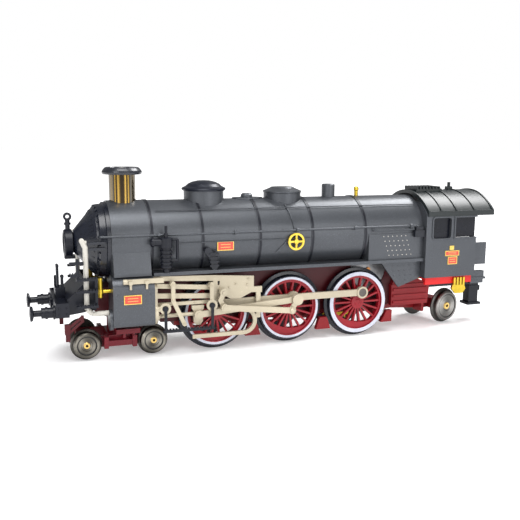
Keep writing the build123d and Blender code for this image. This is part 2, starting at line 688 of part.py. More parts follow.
def make_valve_gear():
    """Fixed gear brackets: top beam, slide bar, valve rods, fan-shaped carrier and guide loop."""
    with BuildPart() as gear:
        for side in ("left", "right"):
            span = layer(side, 12.0, 12.9)
            plate([(47.9, 26.5), (47.9, 25.1), (28.5, 24.0), (14.2, 23.2), (14.2, 24.9), (28.5, 25.9)], span)
            plate(
                [(25.6, 25.4), (14.2, 24.9), (14.2, 21.2), (11.3, 21.2), (11.3, 19.2), (15.0, 19.4),
                 (19.0, 17.6), (22.5, 17.8), (24.6, 19.0), (26.6, 19.6)],
                span,
            )
            plate([(11.8, 19.4), (13.3, 19.4), (13.3, 10.6), (11.8, 10.6)], span)
            bar((47.1, 23.4), (25.0, 21.6), 1.5, span)
            bar((47.1, 20.2), (26.0, 18.9), 1.6, span)
            block((25.6, 47.9), span, (cylinder_z + 3.3, cylinder_z + 4.4))
            bar((27.5, 25.0), (27.5, 17.6), 1.6, span)
            loop_bar(span)
            rod_y(*link_pivot, 1.3, layer(side, 12.8, return_crank_y - 0.3))
            rod_y(*link_pivot, 0.6, layer(side, 12.8, return_crank_y + 0.75))
            rod_y(29.3, 22.8, 0.9, layer(side, 12.8, 14.8))
            bar((29.3, 23.4), (29.3, 18.6), 1.3, layer(side, 14.7, 15.3))
            rod_y(42.0, 24.0, 0.9, layer(side, 12.8, 14.8))
            bar((42.0, 24.4), (42.0, 18.6), 1.3, layer(side, 14.7, 15.3))
            bar((42.0, 18.8), (38.4, 10.9), 1.3, layer(side, 14.7, 15.3))
            rod_y(29.3, 16.5, 1.8, layer(side, 14.7, 15.5))
            bar((29.3, 18.6), (29.3, 16.5), 1.3, layer(side, 14.7, 15.3))
            rod_y(29.3, 16.5, 1.0, layer(side, 14, 16), Mode.SUBTRACT)
            block((45.2, 47.6), layer(side, 12.0, 16.25), (25.0, 25.9))
            block((45.2, 57.4), layer(side, 15.65, 16.25), (25.1, 26.6))
            rod_x(sign(side) * 16.1, 25.9, 0.85, (56.6, 57.8))
            for peg_x in (50.6, 55.6):
                block((peg_x - 0.6, peg_x + 0.6), layer(side, 15.65, 17.0), (25.1, 26.1))
                rod_z(peg_x, sign(side) * 16.65, 0.38, (23.5, 25.6))
    save(gear, "valve_gear")


def loop_bar(span):
    """The guide loop below the crosshead: a bar that turns up round its rear end."""
    outer, inner = 4.6, 3.3
    centre_x, centre_z = 17.6, 9.8
    with BuildSketch(Plane.XZ.offset(-span[0])) as loop:
        with Locations((centre_x, centre_z)):
            Circle(outer)
            Circle(inner, mode=Mode.SUBTRACT)
        with Locations((centre_x + 10, centre_z)):
            Rectangle(20, 2 * outer + 1, mode=Mode.SUBTRACT)
        low = centre_z - (outer + inner) / 2
        with Locations((centre_x + 8.7, low)):
            Rectangle(17.6, outer - inner)
        with Locations((centre_x - 3.0, centre_z + (outer + inner) / 2 - 0.1)):
            Rectangle(6.0, outer - inner + 0.6)
    extrude(loop.sketch, amount=-(span[1] - span[0]))


# ---- cylinders ---------------------------------------------------------------------------------
def make_cylinder_block():
    """Both cylinder casings joined by a bridge over the chassis."""
    front, rear = cylinder_front_x, cylinder_rear_x
    with BuildPart() as casing:
        for side in ("left", "right"):
            hand = sign(side)
            with BuildSketch(Plane.YZ.offset(rear)):
                with BuildLine():
                    Line((hand * 6.0, 11.4), (hand * 14.8, 11.4))
                    RadiusArc((hand * 14.8, 11.4), (hand * cylinder_outer_y, 12.8), -1.4 * hand)
                    Line((hand * cylinder_outer_y, 12.8), (hand * cylinder_outer_y, 23.0))
                    RadiusArc((hand * cylinder_outer_y, 23.0), (hand * 12.2, 27.0), -4.0 * hand)
                    Line((hand * 12.2, 27.0), (hand * 8.4, 27.0))
                    Line((hand * 8.4, 27.0), (hand * 6.0, 22.0))
                    Line((hand * 6.0, 22.0), (hand * 6.0, 11.4))
                make_face()
            extrude(amount=front - rear)
            rod_x(hand * cylinder_y, cylinder_z, 3.3, (front - 0.1, front + 0.9))
            rod_x(hand * cylinder_y, cylinder_z, 0.9, (rear - 1, rear + 10), Mode.SUBTRACT)
        block((rear + 1.5, front - 1.0), (-8.0, 8.0), (22.5, 24.1))
    save(casing, "cylinder_block")


def make_cylinder_covers():
    """Pale rear covers of the cylinders with the piston rod gland and the steam chest cover."""
    rear = cylinder_rear_x
    with BuildPart() as covers:
        for side in ("left", "right"):
            hand = sign(side)
            y = hand * (cylinder_y + 0.3)
            rod_x(y, cylinder_z + 1.2, 3.4, (rear - 1.1, rear))
            rod_x(y, 22.6, 2.3, (rear - 1.1, rear))
            block((rear - 1.1, rear), layer(side, cylinder_y - 1.7, cylinder_y + 2.3), (16, 23))
            rod_x(hand * cylinder_y, cylinder_z, 1.3, (rear - 2.0, rear))
            rod_x(hand * cylinder_y, cylinder_z, 0.65 + fit, (rear - 4, rear + 1), Mode.SUBTRACT)
            rod_y(44.6, 16.4, 1.8, layer(side, 14.4, 15.4))
            block((44.2, rear - 1.0), layer(side, 14.4, 15.2), (15.6, 17.2))
            rod_y(44.6, 16.4, 1.0, layer(side, 14, 16), Mode.SUBTRACT)
            bar_clearance = layer(side, 11.9, 13.0)
            for low, high in ((17.9, 26.0), (16.5, 18.1)):
                block((rear - 1.2, rear + 0.7), bar_clearance, (low, high), Mode.SUBTRACT)
    save(covers, "cylinder_covers")


# ---- boiler and what stands on it --------------------------------------------------------------
def cut_boiler_away():
    """Shapes the foot of a fitting to the boiler, its bands and the smokebox."""
    rod_x(0, boiler_z, boiler_r, (cab_front_x, smokebox_rear_x), Mode.SUBTRACT)
    rod_x(0, boiler_z, boiler_r + 0.15, (smokebox_rear_x, boiler_front_x), Mode.SUBTRACT)
    for place in band_places:
        band = (place - band_width / 2, place + band_width / 2)
        rod_x(0, boiler_z, boiler_r + band_height, band, Mode.SUBTRACT)


firebox_half = 12.9
firebox_front_x = -28.4
chimney_x = 54.8
chimney_r = 4.25
sand_dome_x = 27.7
sand_dome_r = 6.7


def make_boiler_shell():
    """Boiler casting with smokebox, firebox sides, bands, steam pipe covers and small mountings."""
    with BuildPart() as boiler:
        rod_x(0, boiler_z, boiler_r, (cab_front_x, smokebox_rear_x))
        rod_x(0, boiler_z, boiler_r + 0.15, (smokebox_rear_x, boiler_front_x))
        for place in band_places:
            rod_x(0, boiler_z, boiler_r + band_height, (place - band_width / 2, place + band_width / 2))
        sides = (-firebox_half, firebox_half)
        low = board_z - board_thickness
        block((cab_front_x, firebox_front_x), sides, (low, boiler_z))
        for side in ("left", "right"):
            plate([(-33.9, low + 0.1), (-41.3, 17.4), (-50.1, 20.4), (-50.1, low + 0.1)],
                  layer(side, 11.2, 12.0))
            hand = sign(side)
            cover = [(5.9, 27.1), (14.4, 27.1), (14.4, 28.0), (12.3, 34.9), (9.0, 36.5), (5.9, 36.5)]
            cross_section([(hand * y, z) for y, z in cover], (smokebox_rear_x + 0.1, boiler_front_x - 0.2))
        with BuildSketch(Plane.XY.offset(boiler_z + boiler_r - 1.5)):
            with Locations((12.3, 0)):
                Ellipse(5.4, 3.2)
        extrude(amount=1.75)
        turned([(0, 48.0), (2.0, 48.0), (2.0, 50.7), (1.5, 51.2), (0, 51.35)], 12.5, 0)
        turned([(0, 45.0), (sand_dome_r, 45.0), (sand_dome_r, 52.5), (0, 52.5)], sand_dome_x, 0)
        turned([(0, 47.0), (2.36, 47.0), (2.36, 53.7), (2.0, 54.0), (0, 54.0)], -18.3, 0)
        inside = (-slot_half, slot_half)
        block((-48.5, 48.0), inside, (20.0, 31.0), Mode.SUBTRACT)
        pocket = (-slot_half - 1.6, slot_half + 1.6)
        block((motor_x - 5, motor_x + 5), pocket, (20.0, 28.2), Mode.SUBTRACT)
        block((-40.4, -28.3), (-10.6, 10.6), (20.0, 27.2), Mode.SUBTRACT)
        rod_z(chimney_x, 0, 3.4, (44.0, 60.0), Mode.SUBTRACT)
    save(boiler, "boiler_shell")


def make_smokebox_door():
    """Stepped front ring and pointed door with a flat nose."""
    front = boiler_front_x
    nose = front + door_length
    profile = [
        (front, 0), (front, 12.3), (front + 1.2, 12.3), (front + 1.4, 11.8), (front + 3.2, 11.6),
        (front + 3.6, 11.0), (front + 4.2, 10.8), (nose - 0.3, 3.9), (nose, 3.5), (nose, 0),
    ]
    with BuildPart() as door:
        turned_along(profile, 0, boiler_z)
        for side in ("left", "right"):
            for lug_z in (35.5, 37.3):
                block((front + 2.0, 67.5), layer(side, 11.1, 12.4), (lug_z, lug_z + 0.8))
    save(door, "smokebox_door")


def make_chimney():
    """Turned tube on the smokebox with a flared rim, a sunk cap and its pin."""
    rim_z = 57.9
    with BuildPart() as chimney:
        turned(
            [(3.4, 46.5), (chimney_r, 46.5), (chimney_r, rim_z), (6.2, rim_z + 0.2), (6.4, rim_z + 0.8),
             (6.2, rim_z + 1.4), (5.6, rim_z + 2.1), (5.2, rim_z + 2.4), (4.7, rim_z + 2.4),
             (4.3, rim_z + 1.9), (0, rim_z + 1.9), (0, rim_z + 1.0), (3.4, rim_z + 1.0)],
            chimney_x, 0,
        )
        rod_z(chimney_x, 0, 0.55, (rim_z + 1.8, rim_z + 2.35))
        cut_boiler_away()
    save(chimney, "chimney")


def make_domes():
    """Overhanging lid of the sand dome, and the faceted steam dome."""
    with BuildPart() as lid:
        turned(
            [(0, 52.5), (sand_dome_r + 0.5, 52.5), (sand_dome_r + 0.7, 53.0), (sand_dome_r + 0.5, 53.4),
             (sand_dome_r - 0.6, 53.9), (5.2, 54.7), (3.9, 55.3), (2.2, 55.7), (0, 55.85)],
            sand_dome_x, 0,
        )
    save(lid, "sand_dome_lid")
    with BuildPart() as dome:
        turned(
            [(0, 44.0), (6.5, 44.0), (6.5, 51.3), (6.75, 51.5), (6.75, 51.9), (4.3, 52.9), (3.9, 53.2), (0, 53.2)],
            -0.6, 0,
        )
        cut_boiler_away()
    save(dome, "steam_dome")


def make_handrails():
    """Wire handrails on knobs along both sides of the boiler."""
    rail_z, rail_y, rail_r = 39.7, 13.7, 0.32
    with BuildPart() as rails:
        for side in ("left", "right"):
            hand = sign(side)
            rod_x(hand * rail_y, rail_z, rail_r, (-47.4, 64.2))
            for knob_x in (46.0, 20.8, -0.9, -22.5, -44.7):
                rod_y(knob_x, rail_z, 0.28, layer(side, 12.45, rail_y))
                rod_x(hand * rail_y, rail_z, 0.62, (knob_x - 0.5, knob_x + 0.5))
            rod_y(62.9, rail_z, 0.25, layer(side, 11.42, rail_y))
            rod_x(hand * rail_y, rail_z - 1.3, 0.26, (-45.9, -29.6))
            for knob_x in (-30.2, -45.5):
                rod_z(knob_x, hand * rail_y, 0.2, (rail_z - 1.3, rail_z))
    save(rails, "handrails")


def make_boiler_fittings():
    """Valve handwheel, ribbed delivery fittings and the boxes by the cab, stuck to the boiler."""
    centre = (-0.5, 35.8)
    with BuildPart() as fittings:
        with BuildSketch(Plane.XZ.offset(-13.3)):
            with Locations(centre):
                Circle(2.9)
                Circle(2.25, mode=Mode.SUBTRACT)
                Rectangle(5.0, 0.6)
                Rectangle(0.6, 5.0)
        extrude(amount=-0.6)
        rod_y(*centre, 0.8, (13.2, 14.1))
        rod_y(*centre, 0.45, (12.62, 13.3))
        for side in ("left", "right"):
            y = layer(side, 12.9, 14.0)
            bar((30.2, 34.0), (28.2, 31.4), 2.2, y)
            bar((28.2, 31.4), (28.0, 28.9), 2.2, y)
            for rib in range(4):
                z = 28.9 + rib * 1.3
                block((26.6, 29.6), layer(side, 12.9, 14.3), (z, z + 0.55))
            block((-50.0, -46.0), layer(side, 13.2, 14.4), (35.6, 38.0))
            block((-49.6, -46.6), layer(side, 13.2, 14.0), (38.0, 39.2))
    save(fittings, "boiler_fittings")


def make_air_pump():
    """Two-stage air pump with cooling ribs on the left running board, and its pipes."""
    x, y = 44.0, 14.75
    body = [(0, board_z + 0.1), (1.0, board_z + 0.1), (1.0, board_z + 1.2)]
    for ring in range(5):
        low = 29.6 + ring * 1.2
        body += [(1.55, low), (1.9, low + 0.1), (1.9, low + 0.6), (1.55, low + 0.7)]
    body += [(1.55, 35.6), (2.0, 35.8), (2.0, 38.9), (0.65, 39.1), (0.65, 40.4), (0.45, 40.5), (0.45, 42.7), (0, 42.7)]
    with BuildPart() as pump:
        turned(body, x, y)
        turned_along([(x + 0.5, 0), (x + 0.5, 1.2), (x + 3.9, 1.2), (x + 4.0, 1.45), (x + 4.6, 1.45),
                      (x + 4.9, 1.1), (x + 4.9, 0)], y, 37.6)
        wire([(x - 1.0, y, 38.4), (x - 3.6, y, 38.4), (x - 3.6, y, 31.7), (x - 1.0, y, 31.7)], 0.5)
    save(pump, "air_pump")


def make_running_boards():
    """Footplates along both sides of the boiler."""
    low = board_z - board_thickness
    with BuildPart() as boards:
        for side in ("left", "right"):
            hand = sign(side)
            outline = [
                (cylinder_rear_x - 0.2, 9.05), (cylinder_rear_x - 0.2, board_edge_y),
                (cab_front_x, board_edge_y), (cab_front_x, firebox_half + 0.1),
                (firebox_front_x + 0.2, firebox_half + 0.1), (firebox_front_x + 0.2, 9.05),
            ]
            with BuildSketch(Plane.XY.offset(low)):
                with BuildLine():
                    Polyline(*[(x, hand * y) for x, y in outline], close=True)
                make_face()
            extrude(amount=board_thickness)
    save(boards, "running_boards")


# ---- cab ---------------------------------------------------------------------------------------
roof_rise_z = 44.4
roof_r = (eaves_y**2 + (crest_z - roof_rise_z) ** 2) / (2 * (crest_z - roof_rise_z))
roof_centre_z = crest_z - roof_r


def make_cab():
    """Cab sheets: front, sides with windows, and the low side plates and steps behind."""
    with BuildPart() as cab:
        block((cab_front_x - cab_wall, cab_front_x), (-cab_half, cab_half), (cab_floor_z, 47.5))
        for side in ("left", "right"):
            block((cab_rear_x, cab_front_x), layer(side, cab_half - cab_wall, cab_half), (cab_floor_z, 45.0))
            block((cab_rear_x, cab_rear_x + 1), layer(side, 12.2, cab_half), (cab_floor_z, 34.9))
            block((-77.6, cab_rear_x + 0.5), layer(side, 12.3, 13.1), (24.2, 32.4))
            block((-76.9, cab_rear_x + 0.5), layer(side, 11.6, 13.6), (19.5, 21.8))
            block((-77.5, cab_rear_x + 0.5), layer(side, 11.2, 13.9), (18.7, 19.5))
            block((-76.6, cab_rear_x + 0.5), layer(side, 11.6, 13.6), (17.2, 18.7))
            opening = layer(side, cab_half - 3, cab_half + 1)
            with BuildSketch(Plane.XZ.offset(-opening[0])):
                with Locations((-56.7, 38.5)):
                    RectangleRounded(7.4, 7.4, 0.9)
            extrude(amount=-(opening[1] - opening[0]), mode=Mode.SUBTRACT)
            block((cab_rear_x - 1, -62.3), opening, (34.9, 42.2), Mode.SUBTRACT)
            frame = layer(side, cab_half - 0.5, cab_half + 0.3)
            with BuildSketch(Plane.XZ.offset(-frame[0])):
                with Locations((-56.7, 38.5)):
                    RectangleRounded(8.4, 8.4, 1.3)
                    RectangleRounded(7.4, 7.4, 0.9, mode=Mode.SUBTRACT)
            extrude(amount=-(frame[1] - frame[0]))
            block((-62.3, -61.8), frame, (34.4, 42.7))
            for rail_z in (34.4, 42.2):
                block((cab_rear_x, -61.8), frame, (rail_z, rail_z + 0.5))
        under_roof = (cab_rear_x - 1, cab_front_x + 1)
        with BuildSketch(Plane.YZ.offset(under_roof[0])):
            with Locations((0, 50)):
                Rectangle(40, 20)
            with Locations((0, roof_centre_z)):
                Circle(roof_r - roof_thickness, mode=Mode.SUBTRACT)
        extrude(amount=under_roof[1] - under_roof[0], mode=Mode.SUBTRACT)
    save(cab, "cab")


def make_cab_roof():
    """Arched roof with eaves strips, ribs, a slatted ventilator and a small flue."""
    with BuildPart() as roof:
        with BuildSketch(Plane.YZ.offset(roof_rear_x)):
            with Locations((0, roof_centre_z)):
                Circle(roof_r)
                Circle(roof_r - roof_thickness, mode=Mode.SUBTRACT)
            with Locations((0, roof_rise_z + 20 - 0.5)):
                Rectangle(2 * eaves_y, 40, mode=Mode.INTERSECT)
        extrude(amount=roof_front_x - roof_rear_x)
        for side in ("left", "right"):
            block((roof_rear_x, roof_front_x), layer(side, cab_half + 0.05, eaves_y + 0.15), (eaves_z, roof_rise_z + 0.3))
        for rib_x in (-50.9, -56.2, -62.5, -70.1, -78.0):
            with BuildSketch(Plane.YZ.offset(rib_x - 0.35)):
                with Locations((0, roof_centre_z)):
                    Circle(roof_r + 0.3)
                    Circle(roof_r - 0.5, mode=Mode.SUBTRACT)
                with Locations((0, roof_rise_z + 20)):
                    Rectangle(2 * eaves_y, 40, mode=Mode.INTERSECT)
            extrude(amount=0.7)
        block((-63.2, -52.2), (-4.0, 4.0), (crest_z - 1.2, crest_z + 0.7))
        for slat in range(8):
            slat_x = -62.4 + slat * 1.35
            block((slat_x, slat_x + 0.7), (-4.2, 4.2), (crest_z + 0.4, crest_z + 1.5))
        block((-69.9, -67.8), (-1.0, 1.0), (crest_z - 0.6, crest_z + 1.2))
        rod_z(-68.9, 0, 0.6, (crest_z + 1.0, crest_z + 2.8))
    save(roof, "cab_roof")


def make_cab_glazing():
    """Dark panes behind the side windows."""
    with BuildPart() as panes:
        for side in ("left", "right"):
            y = layer(side, cab_half - cab_wall - 0.5, cab_half - cab_wall)
            block((-60.9, -52.4), y, (34.2, 42.8))
            block((cab_rear_x + 0.1, -61.5), y, (34.95, 42.8))
    save(panes, "cab_glazing")


def make_cab_sills():
    """Cab floor with bright side sills, and the pivot stud of the drawbar under it."""
    floor = cab_floor_z - 0.05
    with BuildPart() as sills:
        rear = cab_rear_x + 0.6
        block((rear, cab_front_x - 1.0), (-14.0, 14.0), (floor - 0.8, floor))
        for side in ("left", "right"):
            block((rear, cab_front_x - 1.0), layer(side, 13.0, 14.0), (17.9, floor))
        rod_z(drawbar_pivot_x, 0, 1.0, (13.6, floor))
        rod_z(drawbar_pivot_x, 0, 1.8, (13.0, 13.9))
    save(sills, "cab_sills")


drawbar_pivot_x = -60.0


def make_drawbar():
    """Swinging drawbar with its upright coupling post, foot and hook."""
    with BuildPart() as drawbar:
        block((-82.0, drawbar_pivot_x), (-2.2, 2.2), (14.2, 15.4))
        rod_z(drawbar_pivot_x, 0, 2.2, (14.2, 15.4))
        block((-83.6, -79.4), (-1.9, 1.9), (6.6, 15.4))
        block((-84.6, -78.6), (-2.6, 2.6), (6.0, 6.9))
        block((-84.0, -79.0), (-2.3, 2.3), (12.8, 13.6))
        block((-half_length, -83.5), (-0.6, 0.6), (11.2, 12.1))
        block((-half_length, -half_length + 0.7), (-0.6, 0.6), (11.2, 13.0))
        rod_z(drawbar_pivot_x, 0, 1.0 + fit, (13, 17), Mode.SUBTRACT)
    save(drawbar, "drawbar")


# ---- fittings of the front end -----------------------------------------------------------------
def make_buffer_beam():
    """Front beam with its tray, side plates, sloping deck, buffer sleeves and the coupling."""
    sleeve_end = beam_x + 4.1
    beam_rear = beam_x - 4.1
    with BuildPart() as beam:
        block((beam_rear, beam_x), (-13.0, 13.0), (15.3, 19.3))
        block((beam_rear, beam_x), (-13.0, -12.6), (19.2, 19.8))
        block((beam_rear, beam_x), (12.6, 13.0), (19.2, 19.8))
        block((beam_x - 0.4, beam_x), (-13.0, 13.0), (19.2, 19.8))
        block((66.05, beam_rear + 0.4), (-6.0, 6.0), (16.4, 20.4))
        plate([(beam_rear + 0.5, 20.3), (beam_rear + 0.5, 19.2), (68.2, 24.9), (68.2, 25.9)], (-10.9, 10.9))
        for side in ("left", "right"):
            plate([(beam_rear + 0.3, 19.9), (68.2, 25.9), (65.4, 25.9), (65.4, 16.6), (beam_rear + 0.3, 15.5)],
                  layer(side, 10.1, 10.9))
        for hand in (1, -1):
            rod_x(hand * buffer_y, buffer_z, 2.2, (beam_x, beam_x + 0.6))
            rod_x(hand * buffer_y, buffer_z, 1.65, (beam_x, sleeve_end))
            rod_x(hand * buffer_y, buffer_z, 1.9, (beam_x + 2.2, beam_x + 2.9))
            rod_x(hand * buffer_y, buffer_z, 1.0 + fit, (beam_x - 1.4, sleeve_end + 1), Mode.SUBTRACT)
        block((beam_x, beam_x + 0.8), (-1.8, 1.8), (16.4, 18.8))
        block((73.9, 77.0), (-2.2, 2.6), (19.2, 22.8))
        for y in (-0.7, 0.7):
            rod_z(76.0, y, 0.42, (22.6, 29.4))
        rod_y(76.0, 29.4, 0.5, (-1.15, 1.15))
        block((74.3, 75.2), (1.5, 2.3), (22.6, 26.2))
        rod_y(74.75, 26.2, 0.6, (1.5, 2.3))
        block((76.2, 77.0), (-2.1, -1.3), (22.6, 26.0))
    save(beam, "buffer_beam")


def make_buffer(side):
    """Sprung buffer: shank in the sleeve and a slightly domed head."""
    y = sign(side) * buffer_y
    head = half_length
    profile = [
        (beam_x + 0.5, 0), (beam_x + 0.5, 1.0), (head - 1.3, 1.0), (head - 1.0, 2.2),
        (head - 0.5, 2.4), (head - 0.2, 2.3), (head, 0.8), (head, 0),
    ]
    with BuildPart() as buffer:
        turned_along(profile, y, buffer_z)
    save(buffer, f"{side}_buffer")


def make_steam_pipes():
    """Pale injection pipes that stand beside the smokebox and bend back to the cylinders."""
    pipe_x, pipe_y, pipe_r = 68.4, 12.0, 0.8
    low = 15.7
    with BuildPart() as pipes:
        for side in ("left", "right"):
            y = sign(side) * pipe_y
            wire([(69.4, y, 38.6), (pipe_x, y, 36.4), (pipe_x, y, low + 1.6), (pipe_x - 1.6, y, low),
                  (cylinder_front_x + 0.95, y, low)], pipe_r)
            with Locations((69.4, y, 38.6)):
                Sphere(pipe_r)
            rod_x(y, 38.2, 0.45, (68.0, 69.4))
    save(pipes, "steam_pipes")


def make_guard_irons():
    """Two-legged rail guards in front of the bogie, each with a shoe plate."""
    with BuildPart() as irons:
        for side in ("left", "right"):
            span = layer(side, 11.3, 12.0)
            bar((69.9, 14.9), (74.4, 11.4), 0.8, span)
            bar((69.9, 13.6), (73.6, 10.4), 0.8, span)
            block((69.4, 70.3), span, (13.2, 15.4))
            block((73.6, 75.3), layer(side, 10.9, 12.4), (9.8, 12.9))
            block((73.7, 75.0), layer(side, 10.9, 12.0), (7.4, 9.9))
    save(irons, "guard_irons")


def make_steps():
    """Black step ladders and lamp irons at the front corners, and footboards below the valve gear."""
    with BuildPart() as steps:
        for side in ("left", "right"):
            block((65.2, 66.0), layer(side, 13.1, 13.8), (18.4, 27.6))
            for z in (26.6, 22.9, 18.2):
                block((65.2, 71.6), layer(side, 13.1, 14.9), (z, z + 0.7))
                for tooth in range(7):
                    x = 65.4 + tooth * 0.85
                    block((x, x + 0.45), layer(side, 14.3, 14.9), (z + 0.6, z + 1.1))
            block((28.4, 45.4), layer(side, return_crank_y + 0.05, 15.8), (8.6, 9.4))
            for tooth in range(15):
                x = 29.9 + tooth * 1.0
                block((x, x + 0.5), layer(side, 15.2, 15.8), (9.3, 9.9))
            for post_x, post_z in ((29.3, 16.5), (44.6, 16.4)):
                rod_y(post_x, post_z, 0.9, layer(side, return_crank_y + 0.1, 15.9))
                block((post_x - 0.45, post_x + 0.45), layer(side, 15.55, 16.0), (9.0, post_z))
        rod_z(71.1, 13.9, 0.45, (26.9, 33.4))
        block((69.2, 73.4), (13.5, 14.3), (31.6, 32.5))
        block((70.5, 73.2), (13.5, 14.3), (27.9, 28.8))
    save(steps, "steps")


def make_front_lamp():
    """Headlamp drum in front of the smokebox door, with its foot and an upright eye."""
    nose = boiler_front_x + door_length
    upright_x = nose + 1.6
    with BuildPart() as lamp:
        turned_along([(nose + 0.05, 0), (nose + 0.05, 3.2), (nose + 0.5, 4.3), (nose + 2.6, 4.3),
                      (nose + 3.0, 3.9), (nose + 3.0, 3.3), (nose + 2.6, 3.2), (nose + 2.6, 0)], 0, 36.6)
        rod_z(upright_x, 0, 0.75, (40.4, 43.8))
        rod_z(upright_x, 0, 1.05, (42.3, 43.0))
        rod_y(upright_x, 44.9, 1.3, (-0.45, 0.45))
        rod_y(upright_x, 44.9, 0.55, (-1, 1), Mode.SUBTRACT)
        block((nose - 0.4, nose + 2.9), (-1.6, 1.6), (31.6, 32.6))
    save(lamp, "front_lamp")


def make_brass_fittings():
    """Whistle, cylinder valves in front and the finned injectors under the cab."""
    with BuildPart() as brass:
        turned([(0, 48.5), (0.7, 48.5), (0.7, 51.4), (0.9, 51.6), (0.9, 52.4), (0.5, 52.9), (0, 52.9)], -29.5, 0)
        cut_boiler_away()
        for side in ("left", "right"):
            hand = sign(side)
            rod_z(64.2, hand * 12.0, 0.75, (20.8, 26.9))
            rod_z(64.2, hand * 12.0, 1.0, (22.0, 23.4))
            rod_x(hand * 12.0, 22.6, 0.6, (cylinder_front_x + 0.1, 64.0))
            outer = layer(side, 14.05, 15.0)
            plate([(-62.4, 17.4), (-67.4, 17.2), (-68.0, 15.8), (-66.8, 14.2), (-63.6, 14.2), (-62.0, 16.0)], outer)
            for fin in range(4):
                x = -62.8 - fin * 1.3
                block((x - 0.8, x), outer, (17.0, 20.1))
    save(brass, "brass_fittings")


def make_plates():
    """Blank raised plates on the boiler, cylinders and cab sides."""
    with BuildPart() as plates:
        for side in ("left", "right"):
            block((21.2, 26.8), layer(side, 12.75, 13.0), (33.8, 36.8))
            block((52.2, 57.7), layer(side, cylinder_outer_y, cylinder_outer_y + 0.25), (18.8, 21.7))
            wall = layer(side, cab_half, cab_half + 0.2)
            block((-64.3, -58.4), wall, (28.3, 30.2))
            block((-63.6, -59.6), wall, (25.2, 28.0))
            block((-62.0, -60.2), wall, (30.5, 32.0))
    save(plates, "blank_plates")


# ---- build every piece -------------------------------------------------------------------------
for place in driver_places:
    make_driver_tyres(place)
    make_driver_centres(place)
    make_driver_axle(place)
for place in ("front", "rear"):
    make_crank_screws(place)
make_axle_gear()
make_motor()
make_chassis()
make_keeper_plate()
make_frame_screws()
make_rear_frame()
make_bogie()
make_trailing_truck()
for side in ("left", "right"):
    make_coupling_rod(side)
    make_main_rod(side)
    make_eccentric_rod(side)
    make_expansion_link(side)
    make_crosshead(side)
    make_buffer(side)
make_return_cranks()
make_valve_gear()
make_cylinder_block()
make_cylinder_covers()
make_boiler_shell()
make_smokebox_door()
make_chimney()
make_domes()
make_handrails()
make_boiler_fittings()
make_air_pump()
make_running_boards()
make_cab()
make_cab_roof()
make_cab_glazing()
make_cab_sills()
make_drawbar()
make_buffer_beam()
make_steam_pipes()
make_guard_irons()
make_steps()
make_front_lamp()
make_brass_fittings()
make_plates()
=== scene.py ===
import math

import bpy
from mathutils import Matrix, Vector


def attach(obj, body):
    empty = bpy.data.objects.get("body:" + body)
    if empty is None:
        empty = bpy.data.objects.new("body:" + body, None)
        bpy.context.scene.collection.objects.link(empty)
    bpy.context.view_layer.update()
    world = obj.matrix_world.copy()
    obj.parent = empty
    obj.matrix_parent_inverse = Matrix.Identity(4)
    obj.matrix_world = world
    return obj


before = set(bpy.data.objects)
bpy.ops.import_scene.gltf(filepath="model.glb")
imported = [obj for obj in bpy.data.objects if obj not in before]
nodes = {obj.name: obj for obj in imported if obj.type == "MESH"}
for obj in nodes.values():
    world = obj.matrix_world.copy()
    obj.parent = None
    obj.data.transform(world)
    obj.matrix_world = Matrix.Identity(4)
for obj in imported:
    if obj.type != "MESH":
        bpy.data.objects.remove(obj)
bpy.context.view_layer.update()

print("frame loaded,", len(nodes), "nodes")


# ---- shader helpers ----
class Flow:
    # a socket that can be added, multiplied and compared like a number
    def __init__(self, maker, socket):
        self.maker = maker
        self.socket = socket

    def run(self, operation, a, b=None):
        values = {0: a} if b is None else {0: a, 1: b}
        return self.maker.add("Math", {"operation": operation}, values)[0]

    def __add__(self, other):
        return self.run("ADD", self, other)

    def __radd__(self, other):
        return self.run("ADD", other, self)

    def __sub__(self, other):
        return self.run("SUBTRACT", self, other)

    def __rsub__(self, other):
        return self.run("SUBTRACT", other, self)

    def __mul__(self, other):
        return self.run("MULTIPLY", self, other)

    def __rmul__(self, other):
        return self.run("MULTIPLY", other, self)

    def __lt__(self, other):
        return self.run("LESS_THAN", self, other)

    def __gt__(self, other):
        return self.run("GREATER_THAN", self, other)

    def __abs__(self):
        return self.run("ABSOLUTE", self)

    def root(self):
        return self.run("SQRT", self)

    def sine(self):
        return self.run("SINE", self)

    def angleTo(self, other):
        return self.run("ARCTAN2", self, other)


